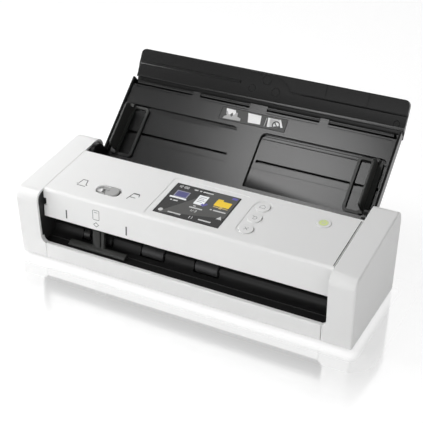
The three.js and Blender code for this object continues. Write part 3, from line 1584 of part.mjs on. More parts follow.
function addFrontCover() {
  scanner.add(mesh('front_cover', frontCoverGeometry(), 'white'));
  scanner.add(mesh('upper_chute', upperChuteGeometry(), 'chute'));
  scanner.add(mesh('upper_scan_bar', upperScanBarGeometry(), 'black'));
  scanner.add(mesh('upper_scan_glass', scanGlassGeometry(pathFlatZ + upperPathGap), 'clearGlass'));
  const [y, z] = separationPlace;
  const shaftHalf = separationWidth / 2 + windowMargin + 2 * separationTabWall;
  const separationRoller = join(
    bar(separationRollerRadius, -separationWidth / 2, separationWidth / 2, y, z),
    bar(separationShaftRadius, -shaftHalf, shaftHalf, y, z, smallRoundSegments));
  scanner.add(mesh('separation_roller', separationRoller, 'rubber'));
  const panel = new THREE.Group();
  panel.position.set(0, coverFrontY, creaseZ);
  panel.rotation.x = topSlope;
  panel.add(mesh('screen_glass', screenGlassGeometry(), 'glass'));
  panel.add(mesh('screen_module', screenModuleGeometry(), 'steel'));
  panel.add(mesh('panel_board', panelBoardGeometry(), 'board'));
  buttonRows.forEach((along, i) => {
    panel.add(mesh(`panel_button_${i + 1}`, buttonGeometry(buttonX, along), 'whiteButton'));
  });
  panel.add(mesh('power_button', buttonGeometry(powerX, powerAt), 'whiteButton'));
  panel.add(mesh('path_lever', leverGeometry(), 'lever'));
  scanner.add(panel);
}

function addLid() {
  const lid = new THREE.Group();
  lid.position.set(0, lidBaseY, lidBaseZ);
  lid.rotation.x = lidLean;
  lid.add(mesh('lid_shell', lidShellGeometry(), 'black'));
  lid.add(mesh('lid_panel', lidPanelGeometry(), 'black'));
  lid.add(mesh('icon_plate', iconPlateGeometry(), 'plate'));
  lid.add(mesh('flap_hinge_pin', flapPinGeometry(), 'steel'));
  lid.add(mesh('left_guide', leftGuideGeometry(), 'guide'));
  lid.add(mesh('right_guide', rightGuideGeometry(), 'guide'));
  const fence = leftFenceGeometry();
  lid.add(mesh('left_guide_fence', fence, 'guide'));
  lid.add(mesh('right_guide_fence', mirrored(fence), 'guide'));
  lid.add(mesh('guide_pinion', pinionGeometry(), 'gear'));
  const flap = new THREE.Group();
  flap.position.set(0, flapHingeAt, -flapHingeDepth);
  flap.rotation.x = THREE.MathUtils.degToRad(flapBendDeg);
  flap.add(mesh('lid_flap', flapGeometry(), 'black'));
  flap.add(mesh('support_arm', supportArmGeometry(), 'black'));
  lid.add(flap);
  scanner.add(lid);
}

addBody();
addDrive();
addFrontCover();
addLid();

export default scanner;
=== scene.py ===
"""Desktop document scanner with an open lid, paper guides, a control panel and a paper slot."""
import json
import math

import bmesh
import bpy
from bpy.props import FloatProperty, FloatVectorProperty, IntProperty, PointerProperty
from mathutils import Matrix, Vector


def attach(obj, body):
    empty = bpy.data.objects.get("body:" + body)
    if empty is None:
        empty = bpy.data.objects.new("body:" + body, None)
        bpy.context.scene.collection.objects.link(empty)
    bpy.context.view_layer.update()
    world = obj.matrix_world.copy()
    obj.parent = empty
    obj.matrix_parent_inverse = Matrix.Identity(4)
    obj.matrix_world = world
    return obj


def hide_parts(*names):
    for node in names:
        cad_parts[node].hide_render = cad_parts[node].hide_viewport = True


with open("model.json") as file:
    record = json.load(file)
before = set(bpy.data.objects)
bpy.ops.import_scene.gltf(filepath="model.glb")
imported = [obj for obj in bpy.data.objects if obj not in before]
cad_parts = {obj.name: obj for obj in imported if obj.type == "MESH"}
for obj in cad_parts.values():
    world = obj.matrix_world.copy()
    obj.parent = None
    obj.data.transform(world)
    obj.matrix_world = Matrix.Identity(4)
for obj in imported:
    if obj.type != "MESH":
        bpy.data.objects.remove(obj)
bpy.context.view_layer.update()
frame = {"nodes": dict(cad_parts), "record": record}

bl_info = {
    "name": "Desktop Scanner",
    "version": (1, 0, 0),
    "blender": (4, 5, 0),
    "location": "View3D > Sidebar > Scanner",
    "description": "Dresses the packed desktop scanner with moulded edges, printed marks and finishes",
    "category": "Object",
}

MM = 0.001
SMOOTH_ANGLE = math.radians(35)
FLAT_ANGLE = math.radians(0.5)
WELD_DISTANCE = 1e-6


# Local frames, in millimetres: x to the right, then up the surface, then out of it


def surface_frame(y, z, tilt_deg):
    place = Matrix.Translation((0, y * MM, z * MM))
    return place @ Matrix.Rotation(math.radians(tilt_deg), 4, "X") @ Matrix.Scale(MM, 4)


COVER_FACE_Y = -41.3
COVER_CREASE_Z = 62.924
PANEL_TILT = 8.5
LID_FOOT_Y = 48.5
LID_FOOT_Z = 60
LID_TILT = 44.1
FLAP_FOOT = (0, 75.4, -2.6)
FLAP_LEAN = 22

PANEL = surface_frame(COVER_FACE_Y, COVER_CREASE_Z, PANEL_TILT)
FACE = surface_frame(COVER_FACE_Y, 0, 90)
LID = surface_frame(LID_FOOT_Y, LID_FOOT_Z, LID_TILT)
FLAP = LID @ Matrix.Translation(FLAP_FOOT) @ Matrix.Rotation(math.radians(FLAP_LEAN), 4, "X")

# Where the lever and the power button lie on the panel, in millimetres

LEVER_X, LEVER_UP = -75.7, 18.8
POWER_X, POWER_UP = 101.3, 47.8

# How far print and painted shade lines stand out of their surface, in millimetres

PRINT_HEIGHT = 0.035
PALE_PRINT_AND_SHADE_HEIGHT = 0.03

# Rounding of the small pieces' edges, in metres

GLASS_EDGE = 0.12 * MM
LEVER_EDGE = 0.4 * MM
CHUTE_EDGE = 0.3 * MM
INNER_CHUTE_EDGE = 0.2 * MM
CARD_GUIDE_EDGE = 0.5 * MM
PLATE_EDGE = 0.1 * MM
PIN_EDGE = 0.1 * MM
FRAME_EDGE = 0.3 * MM
FOOT_EDGE = 0.5 * MM


# Sizes and colours that a user would change


def colour(name, description, default):
    return FloatVectorProperty(
        name=name, description=description, default=default, subtype="COLOR", size=3, min=0, max=1)


def length(name, description, millimetres):
    return FloatProperty(name=name, description=description, default=millimetres * MM, min=0, unit="LENGTH")


def power(name, description, watts):
    return FloatProperty(name=name, description=description, default=watts, min=0, unit="POWER")


def strength(name, description, default):
    return FloatProperty(name=name, description=description, default=default, min=0)


class ScannerFinishes(bpy.types.PropertyGroup):
    """Colours and grain of the scanner's materials."""

    case: colour("Case", "White plastic of the caps, strip and front cover", (0.87, 0.87, 0.865))
    buttons: colour("Buttons", "Plastic of the panel buttons", (0.84, 0.84, 0.835))
    lever: colour("Lever", "Plastic of the sliding lever", (0.42, 0.42, 0.415))
    lid: colour("Lid", "Charcoal plastic of the lid and its flap", (0.006, 0.006, 0.006))
    chute: colour("Chute", "Black plastic inside the slot", (0.014, 0.014, 0.014))
    guides: colour("Guides", "Dark plastic of the paper guides", (0.030, 0.031, 0.029))
    plate: colour("Icon plate", "Thin plate on the lid", (0.030, 0.030, 0.029))
    rubber: colour("Rubber", "Rollers and feet", (0.030, 0.030, 0.031))
    steel: colour("Steel", "Shafts, pins and sockets", (0.62, 0.63, 0.64))
    gears: colour("Gears", "Natural plastic of the gears", (0.72, 0.70, 0.62))
    board: colour("Circuit boards", "Green laminate", (0.015, 0.13, 0.05))
    display: colour("Display", "Dark area of the lit display", (0.018, 0.018, 0.018))
    ink: colour("Print", "Grey print on the case", (0.13, 0.13, 0.13))
    power: colour("Power mark", "Mark on the power button", (0.62, 0.72, 0.20))
    grain: length("Grain", "Width of the moulded grain", 0.35)


class ScannerEdges(bpy.types.PropertyGroup):
    """Widths of the rounded edges."""

    case: length("Case edges", "Rounding of the white parts", 0.45)
    lid: length("Lid edges", "Rounding of the lid's parts", 0.5)
    guides: length("Guide edges", "Rounding of the paper guides", 0.55)
    buttons: length("Button edges", "Rounding of the buttons", 0.5)
    rollers: length("Roller edges", "Rounding of the rubber rollers", 0.5)
    segments: IntProperty(
        name="Edge steps", description="Steps in each rounded edge", default=3, min=1, max=8)


class ScannerStage(bpy.types.PropertyGroup):
    """Floor, lamps and camera."""

    floor: length("Floor", "Width of the floor", 6000)
    sky: strength("Surround", "Light of the surround near the floor", 1.0)
    ceiling: strength("Ceiling", "Light of the surround overhead", 0.16)
    key: power("Key lamp", "Power of the lamp on the left", 6.0)
    front: power("Front lamp", "Power of the low lamp in front", 4.4)
    side: power("Side lamp", "Power of the lamp on the right", 2.2)
    lid: power("Lid lamp", "Power of the lamp that shines on the lid", 2.4)
    glow: strength("Floor glow", "Whiteness of the floor where the camera looks past the scanner", 1.30)
    mirror: FloatProperty(
        name="Floor gloss", description="Share of mirror reflection in the floor beside the scanner",
        default=0.5, min=0, max=1, subtype="FACTOR")
    lens: FloatProperty(
        name="Lens", description="Focal length of the camera", default=83.67, min=1, unit="CAMERA")


# Materials


FINISH = "finish_"
GRAIN_DEPTH = 0.2


class Value:
    """A socket of a material that takes part in sums."""

    def __init__(self, shader, socket):
        self.shader = shader
        self.socket = socket

    def _math(self, operation, first, second):
        return self.shader.add("ShaderNodeMath", {"operation": operation}, {0: first, 1: second})

    def __add__(self, other):
        return self._math("ADD", self, other)

    def __sub__(self, other):
        return self._math("SUBTRACT", self, other)

    def __mul__(self, other):
        return self._math("MULTIPLY", self, other)

    def __rsub__(self, other):
        return self._math("SUBTRACT", other, self)

    __radd__ = __add__
    __rmul__ = __mul__


class Nodes:
    """A node tree that is built from sums of its sockets."""

    def __init__(self, tree):
        self.tree = tree

    def add(self, kind, settings=None, sockets=None, output=0):
        """Adds a node, sets it, feeds its sockets and gives one of its outputs."""
        node = self.tree.nodes.new(kind)
        for key, value in (settings or {}).items():
            setattr(node, key, value)
        for key, value in (sockets or {}).items():
            self.feed(node.inputs[key], value)
        return Value(self, node.outputs[output])

    def feed(self, socket, value):
        if isinstance(value, Value):
            self.tree.links.new(value.socket, socket)
        else:
            socket.default_value = value

    def passing(self):
        """1 for a ray from the camera or its reflection, and 0 for light that falls on the object."""
        camera, glossy, transmission = (
            self.add("ShaderNodeLightPath", output=kind)
            for kind in ("Is Camera Ray", "Is Glossy Ray", "Is Transmission Ray"))
        rays = camera + glossy + transmission
        return self.add("ShaderNodeMath", {"operation": "MINIMUM"}, {0: rays, 1: 1.0})

    def ramp(self, value, start, end, low=0.0, high=1.0):
        """A smooth change from low to high while a value goes from start to end."""
        return self.add("ShaderNodeMapRange", {"interpolation_type": "SMOOTHSTEP"}, {
            "Value": value, "From Min": start, "From Max": end, "To Min": low, "To Max": high})


class Shader(Nodes):
    """The nodes of one material."""

    def __init__(self, name, specular=0.5):
        self.material = bpy.data.materials.new(FINISH + name)
        self.material.use_nodes = True
        super().__init__(self.material.node_tree)
        self.surface = self.tree.nodes["Principled BSDF"]
        self.surface.inputs["Specular IOR Level"].default_value = specular
        self.place = self.add("ShaderNodeTexCoord", output="Object")

    def set(self, **values):
        for key, value in values.items():
            self.feed(self.surface.inputs[key.replace("_", " ").title()], value)

    def show(self, surface):
        """Makes a shader the material's surface."""
        self.feed(self.tree.nodes["Material Output"].inputs["Surface"], surface)

    def noise(self, cells, detail=2, stretch=(1, 1, 1)):
        """Noise with this many cells in a metre, from 0 to 1."""
        vector = self.add("ShaderNodeMapping", sockets={"Vector": self.place, "Scale": stretch})
        return self.add("ShaderNodeTexNoise", sockets={"Vector": vector, "Scale": cells, "Detail": detail})

    def blend(self, first, second, share):
        """A colour between two colours."""
        colours = {6: (*first, 1), 7: (*second, 1)}
        return self.add("ShaderNodeMix", {"data_type": "RGBA"}, {"Factor": share, **colours}, output=2)

    def bump(self, height, amount, distance):
        """Raises the surface by a height from 0 to 1, times a distance in metres."""
        sockets = {"Height": height, "Strength": amount, "Distance": distance}
        self.set(normal=self.add("ShaderNodeBump", sockets=sockets))

    def fine_grain(self):
        return self.noise(1 / finish_settings().grain)


def shaded(base, factor):
    """A colour made lighter or darker."""
    return tuple(min(1, c * factor) for c in base)


def finish_settings():
    return bpy.context.scene.scanner_finishes


def moulded(name, base, roughness, spread=0.08, grain=0.10, tone=0.05, specular=0.5):
    """Moulded plastic: fine grain, a slow change of tone and a slightly uneven gloss."""
    shader = Shader(name, specular)
    slow = shader.noise(cells=14, detail=3)
    fine = shader.fine_grain()
    shader.set(
        base_color=shader.blend(shaded(base, 1 - tone), shaded(base, 1 + tone), slow),
        roughness=fine * spread + slow * spread + (roughness - spread),
    )
    shader.bump(fine, grain, finish_settings().grain * GRAIN_DEPTH)
    return shader.material


def case_plastic():
    return moulded("case_plastic", finish_settings().case, roughness=0.42, grain=0.05, tone=0.006)


def button_plastic():
    return moulded("button_plastic", finish_settings().buttons, roughness=0.34, grain=0.03, tone=0.008)


def lever_plastic():
    return moulded("lever_plastic", finish_settings().lever, roughness=0.38, grain=0.05, tone=0.04)


def recess_plastic():
    base = shaded(finish_settings().lever, 0.95)
    return moulded("recess_plastic", base, roughness=0.45, grain=0.05, tone=0.04)


def lid_plastic():
    return moulded("lid_plastic", finish_settings().lid, roughness=0.24, spread=0.03, grain=0.05, tone=0.07)


def chute_plastic():
    """Black plastic with faint streaks along the slot."""
    shader = Shader("chute_plastic", specular=0.2)
    base = finish_settings().chute
    streaks = shader.noise(cells=240, detail=3, stretch=(0.08, 1, 1))
    fine = shader.fine_grain()
    shader.set(
        base_color=shader.blend(shaded(base, 0.85), shaded(base, 1.25), streaks),
        roughness=streaks * 0.12 + fine * 0.06 + 0.28,
    )
    shader.bump(fine, 0.06, finish_settings().grain * GRAIN_DEPTH)
    return shader.material


def guide_plastic():
    base = finish_settings().guides
    return moulded("guide_plastic", base, roughness=0.36, grain=0.06, tone=0.06, specular=0.35)


def plate_plastic():
    return moulded("plate_plastic", finish_settings().plate, roughness=0.36, grain=0.04, tone=0.03)


def roller_rubber():
    """Ground rubber: fine rings of noise round the shaft."""
    shader = Shader("roller_rubber")
    base = finish_settings().rubber
    rings = shader.noise(cells=1400, stretch=(1, 0.02, 0.02))
    dust = shader.noise(cells=300, detail=4)
    shader.set(
        base_color=shader.blend(shaded(base, 0.8), shaded(base, 1.5), dust),
        roughness=rings * 0.2 + dust * 0.15 + 0.32,
    )
    shader.bump(rings, 0.25, 0.1 * MM)
    return shader.material


def foot_rubber():
    base = shaded(finish_settings().rubber, 0.6)
    return moulded("foot_rubber", base, roughness=0.75, grain=0.3, tone=0.1)


def ground_steel():
    """Steel turned on a lathe, with fine lines round its length."""
    shader = Shader("ground_steel")
    base = finish_settings().steel
    lines = shader.noise(cells=2500, stretch=(1, 0.05, 0.05))
    slow = shader.noise(cells=60, detail=3)
    shader.set(
        base_color=shader.blend(shaded(base, 0.85), shaded(base, 1.1), slow),
        metallic=1.0,
        roughness=lines * 0.15 + slow * 0.08 + 0.18,
    )
    shader.bump(lines, 0.08, 0.05 * MM)
    return shader.material


def gear_plastic():
    return moulded("gear_plastic", finish_settings().gears, roughness=0.46, grain=0.05, tone=0.05)


def circuit_board():
    """Green laminate with paler copper runs under the lacquer."""
    shader = Shader("circuit_board")
    base = finish_settings().board
    pattern = {"Vector": shader.place, "Scale": 160.0, "Mortar Size": 0.018, "Brick Width": 0.9,
               "Row Height": 0.3}
    runs = shader.add("ShaderNodeTexBrick", {"offset": 0.3, "squash": 0.6}, pattern, output="Fac")
    slow = shader.noise(cells=40, detail=3)
    shader.set(
        base_color=shader.blend(shaded(base, 0.9), shaded(base, 2.0), runs * 0.6 + slow * 0.2),
        roughness=slow * 0.1 + 0.32,
    )
    shader.bump(runs, 0.2, 0.1 * MM)
    return shader.material


def display_glass():
    """Polished cover over the dark display, with faint wipe marks."""
    shader = Shader("display_glass", specular=0.25)
    base = finish_settings().display
    wipes = shader.noise(cells=90, detail=4, stretch=(0.3, 1, 1))
    shader.set(
        base_color=shader.blend(shaded(base, 0.9), shaded(base, 1.15), wipes),
        roughness=wipes * 0.08 + 0.08,
        coat_weight=0.2,
    )
    return shader.material


def scan_glass():
    """Clear blue-green glass with faint wipe marks."""
    shader = Shader("scan_glass")
    wipes = shader.noise(cells=60, detail=3)
    shader.set(
        base_color=shader.blend((0.30, 0.36, 0.37), (0.36, 0.42, 0.43), wipes),
        roughness=wipes * 0.04 + 0.03,
        alpha=wipes * 0.1 + 0.35,
    )
    return shader.material


def inner_black():
    return moulded("inner_black", shaded(finish_settings().chute, 0.9), roughness=0.55, tone=0.08)


def shaft_plastic():
    base = shaded(finish_settings().chute, 1.6)
    return moulded("shaft_plastic", base, roughness=0.28, spread=0.04, grain=0.03, tone=0.06)


def ink_or_shade_material(name, base, roughness, glow):
    """A mark in print, a lit mark or a painted shade line, a little uneven in its ink."""
    shader = Shader(name, specular=0.2)
    uneven = shader.noise(cells=900, detail=3)
    tone = shader.blend(shaded(base, 0.93), shaded(base, 1.05), uneven)
    shader.set(base_color=tone, roughness=uneven * 0.1 + roughness)
    if glow:
        shader.set(emission_color=tone, emission_strength=glow)
    return shader.material


def finish(build, *args):
    """The material that a function builds, made once."""
    key = args[0] if args else build.__name__
    return bpy.data.materials.get(FINISH + key) or build(*args)


def ink_or_painted_shade(name, base, roughness=0.45, glow=0.0):
    """The ink of this name, made once, for print, lit marks and painted shade lines."""
    return finish(ink_or_shade_material, name, base, roughness, glow)


# Meshes


EVEN_WEIGHT = 80
SHARPEST_MITRE = 0.4


def link(name, mesh):
    """A new object in the scene for a mesh."""
    obj = bpy.data.objects.new(name, mesh)
    bpy.context.scene.collection.objects.link(obj)
    return obj


def bake(obj):
    """Bakes an object's modifiers into its mesh."""
    graph = bpy.context.evaluated_depsgraph_get()
    mesh = bpy.data.meshes.new_from_object(
        obj.evaluated_get(graph), preserve_all_data_layers=True, depsgraph=graph)
    old = obj.data
    obj.modifiers.clear()
    obj.data = mesh
    bpy.data.meshes.remove(old)


def smooth(obj):
    """Smooth shading that keeps flat faces flat."""
    obj.data.shade_smooth()
    obj.data.set_sharp_from_angle(angle=SMOOTH_ANGLE)
    modifier = obj.modifiers.new("even", "WEIGHTED_NORMAL")
    modifier.keep_sharp = True
    modifier.weight = EVEN_WEIGHT
    bake(obj)


def is_long_outer_edge(edge, shortest):
    if len(edge.link_faces) != 2 or not edge.is_convex:
        return False
    return edge.calc_face_angle() >= SMOOTH_ANGLE and edge.calc_length() >= shortest * MM


def round_edges(obj, width, shortest):
    """Rounds the outer edges of a mesh that are at least this many millimetres long."""
    if width <= 0:
        return
    bm = bmesh.new()
    bm.from_mesh(obj.data)
    weights = bm.edges.layers.float
    weight = weights.get("bevel_weight_edge") or weights.new("bevel_weight_edge")
    for edge in bm.edges:
        edge[weight] = 1.0 if is_long_outer_edge(edge, shortest) else 0.0
    bm.to_mesh(obj.data)
    bm.free()
    modifier = obj.modifiers.new("edges", "BEVEL")
    modifier.limit_method = "WEIGHT"
    modifier.width = width
    modifier.segments = bpy.context.scene.scanner_edges.segments
    modifier.use_clamp_overlap = True
    bake(obj)


def body_of_node(node):
    bodies = frame["record"]["behaviour"]["bodies"]
    return next(body for body, nodes in bodies.items() if node in nodes)


def copied(node, name):
    """A free copy of a node's mesh with its flat faces joined up."""
    mesh = frame["nodes"][node].data.copy()
    mesh.materials.clear()
    mesh.name = name
    bm = bmesh.new()
    bm.from_mesh(mesh)
    bmesh.ops.remove_doubles(bm, verts=bm.verts, dist=WELD_DISTANCE)
    bmesh.ops.dissolve_limit(bm, angle_limit=FLAT_ANGLE, verts=bm.verts, edges=bm.edges)
    bm.to_mesh(mesh)
    bm.free()
    return link(name, mesh)


def carve(obj, cutters):
    """Cuts closed meshes out of an object and deletes them."""
    for cutter in cutters:
        modifier = obj.modifiers.new("cut", "BOOLEAN")
        modifier.operation = "DIFFERENCE"
        modifier.solver = "EXACT"
        modifier.object = cutter
    bake(obj)
    for cutter in cutters:
        mesh = cutter.data
        bpy.data.objects.remove(cutter)
        bpy.data.meshes.remove(mesh)


def fit(obj, node, material):
    """Gives a finished piece its material and its body, and hides the node that it stands for."""
    obj.data.materials.clear()
    obj.data.materials.append(material)
    smooth(obj)
    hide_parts(node)
    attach(obj, body_of_node(node))


def moulding(node, material, width, shortest=3.0, cutters=()):
    """A node's shape with rounded edges and, if given, cut details."""
    obj = copied(node, node + "_moulding")
    round_edges(obj, width, shortest)
    if cutters:
        carve(obj, cutters)
    fit(obj, node, material)


def dress(nodes, material):
    """Gives CAD nodes that stay in view a material of their own."""
    for node in nodes:
        mesh = frame["nodes"][node].data
        mesh.materials.clear()
        mesh.materials.append(material)


def arc(x, y, radius, start, end, steps):
    """Points along an arc, from one angle to another in degrees."""
    angles = (math.radians(start + (end - start) * i / steps) for i in range(steps + 1))
    return [(x + math.cos(angle) * radius, y + math.sin(angle) * radius) for angle in angles]


def soft_corners(x0, x1, y0, y1, radius, steps):
    """A rectangle's outline with round corners."""
    points = []
    for x, y, start in ((x1 - radius, y0 + radius, -90), (x1 - radius, y1 - radius, 0),
                        (x0 + radius, y1 - radius, 90), (x0 + radius, y0 + radius, 180)):
        points += arc(x, y, radius, start, start + 90, steps)
    return points


class Relief:
    """Flat shapes drawn on a surface, in its own millimetres, from a low to a high level above it."""

    def __init__(self, place, low, high):
        self.place = place
        self.low = low
        self.high = high
        self.bm = bmesh.new()

    def patch(self, points):
        """A filled outline."""
        area = sum(a[0] * b[1] - b[0] * a[1] for a, b in zip(points, points[1:] + points[:1]))
        ordered = points if area > 0 else points[::-1]
        bottom = [self.bm.verts.new((x, y, self.low)) for x, y in ordered]
        top = [self.bm.verts.new((x, y, self.high)) for x, y in ordered]
        self.bm.faces.new(top)
        self.bm.faces.new(bottom[::-1])
        count = len(ordered)
        for i in range(count):
            j = (i + 1) % count
            self.bm.faces.new((bottom[i], bottom[j], top[j], top[i]))
        return self

    def box(self, x0, x1, y0, y1):
        return self.patch([(x0, y0), (x1, y0), (x1, y1), (x0, y1)])

    def stroke(self, points, width, closed=False):
        """A band of even width along a line of points."""
        count = len(points)
        sides = []
        for i, point in enumerate(points):
            before = points[i - 1] if closed or i > 0 else point
            after = points[(i + 1) % count] if closed or i < count - 1 else point
            into = Vector((point[0] - before[0], point[1] - before[1]))
            out = Vector((after[0] - point[0], after[1] - point[1]))
            first = (into if into.length > 0 else out).normalized()
            second = (out if out.length > 0 else into).normalized()
            along = (first + second).normalized()
            reach = width / 2 / max(along.dot(first), SHARPEST_MITRE)
            across = Vector((-along.y, along.x)) * reach
            sides.append([(point[0] + s * across.x, point[1] + s * across.y) for s in (1, -1)])
        for i in range(count if closed else count - 1):
            (a, b), (c, d) = sides[i], sides[(i + 1) % count]
            self.patch([a, b, d, c])
        return self

    def ring(self, x, y, radius, width, start=0, end=360, steps=28):
        """A round band, or a part of one between two angles."""
        points = arc(x, y, radius, start, end, steps)
        full = end - start >= 360
        return self.stroke(points[:-1] if full else points, width, closed=full)

    def disc(self, x, y, radius, steps=24):
        return self.patch(arc(x, y, radius, 0, 360, steps)[:-1])

    def mesh(self, name):
        """Ends the drawing and gives its object."""
        mesh = bpy.data.meshes.new(name)
        self.bm.to_mesh(mesh)
        self.bm.free()
        mesh.transform(self.place)
        return link(name, mesh)

    def piece(self, name, material, body, slot):
        """Ends the drawing as a piece of its own that rides on a body."""
        obj = self.mesh(name)
        obj.data.materials.append(material)
        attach(obj, body)


# Pieces


COVER = "front_cover_group"


class SCANNER_OT_case(bpy.types.Operator):
    """Both end caps, the strip below the slot and the rear cover"""

    bl_idname = "scanner.case"
    bl_label = "Case"

    def execute(self, context):
        edges = context.scene.scanner_edges
        white = finish(case_plastic)
        for node in ("left_end_cap", "right_end_cap"):
            moulding(node, white, edges.case * 0.6, shortest=8.0)
        moulding("front_strip", white, edges.case * 0.5, shortest=4.0)
        moulding("rear_cover", white, edges.case * 0.6, shortest=4.0)
        return {"FINISHED"}


class SCANNER_OT_front_cover(bpy.types.Operator):
    """The front cover, its print and a painted shade line beside its right seam"""

    bl_idname = "scanner.front_cover"
    bl_label = "Front cover"

    def execute(self, context):
        edges = context.scene.scanner_edges
        moulding("front_cover", finish(case_plastic), edges.case, shortest=20.0)
        ink = ink_or_painted_shade("case_print", finish_settings().ink, roughness=0.5)
        self.panel_marks(ink)
        self.seam_shade()
        self.slot_marks(ink)
        self.card_marks()
        return {"FINISHED"}

    def panel_marks(self, ink):
        """A tray at the left of the lever and a bent sheet at its right."""
        line = 0.7
        top = Relief(PANEL, 0.0, PRINT_HEIGHT)
        tray = [(-106.6, 18.0), (-105.0, 18.0), (-104.0, 24.6), (-99.6, 24.6), (-97.6, 18.0),
                (-96.2, 18.0)]
        top.stroke(tray, 0.75)
        top.stroke([(-105.4, 16.2), (-97.2, 16.2)], line)
        sheet = [(-56.6, 14.9), (-54.6, 23.8), (-49.2, 23.8), (-48.2, 20.6), (-50.4, 14.9)]
        top.stroke(sheet[:4], line)
        top.stroke(sheet[1:3], 1.5)
        top.stroke([sheet[0], (-55.8, 18.4), (-50.2, 18.4)], line)
        top.piece("panel_marks", ink, COVER, "white_plastic")

    def seam_shade(self):
        """A painted shade line beside the gap between the cover and the right cap, standing in for the
        gap's shadow.
        """
        # Painted shade: a dark strip put where the seam's gap only has shadow.
        dark = ink_or_painted_shade("gap_line", shaded(finish_settings().ink, 0.25), roughness=0.6)
        gap = Relief(PANEL, 0.0, PALE_PRINT_AND_SHADE_HEIGHT).box(126.7, 127.4, 2.2, 62.0)
        gap.piece("gap_shade", dark, COVER, "white_plastic")

    def slot_marks(self, ink):
        """Two bars above the slot, at the sides of a card's way out."""
        half_width = 0.65
        face = Relief(FACE, 0.0, PRINT_HEIGHT)
        for x in (-105.7, -48.0):
            face.box(x - half_width, x + half_width, 40.6, 48.5)
        face.piece("slot_marks", ink, COVER, "white_plastic")

    def card_marks(self):
        """A card with its stripe, and a lozenge below it."""
        pale = ink_or_painted_shade("pale_print", shaded(finish_settings().ink, 1.9), roughness=0.5)
        card = Relief(FACE, 0.0, PALE_PRINT_AND_SHADE_HEIGHT)
        card.stroke(soft_corners(-79.7, -73.7, 46.9, 55.6, 0.9, 3), 0.5, closed=True)
        card.stroke([(-78.4, 53.6), (-75.2, 53.6)], 0.45)
        card.stroke([(-76.7, 44.4), (-74.3, 42.4), (-76.7, 40.4), (-79.1, 42.4)], 0.55, closed=True)
        card.piece("card_marks", pale, COVER, "white_plastic")


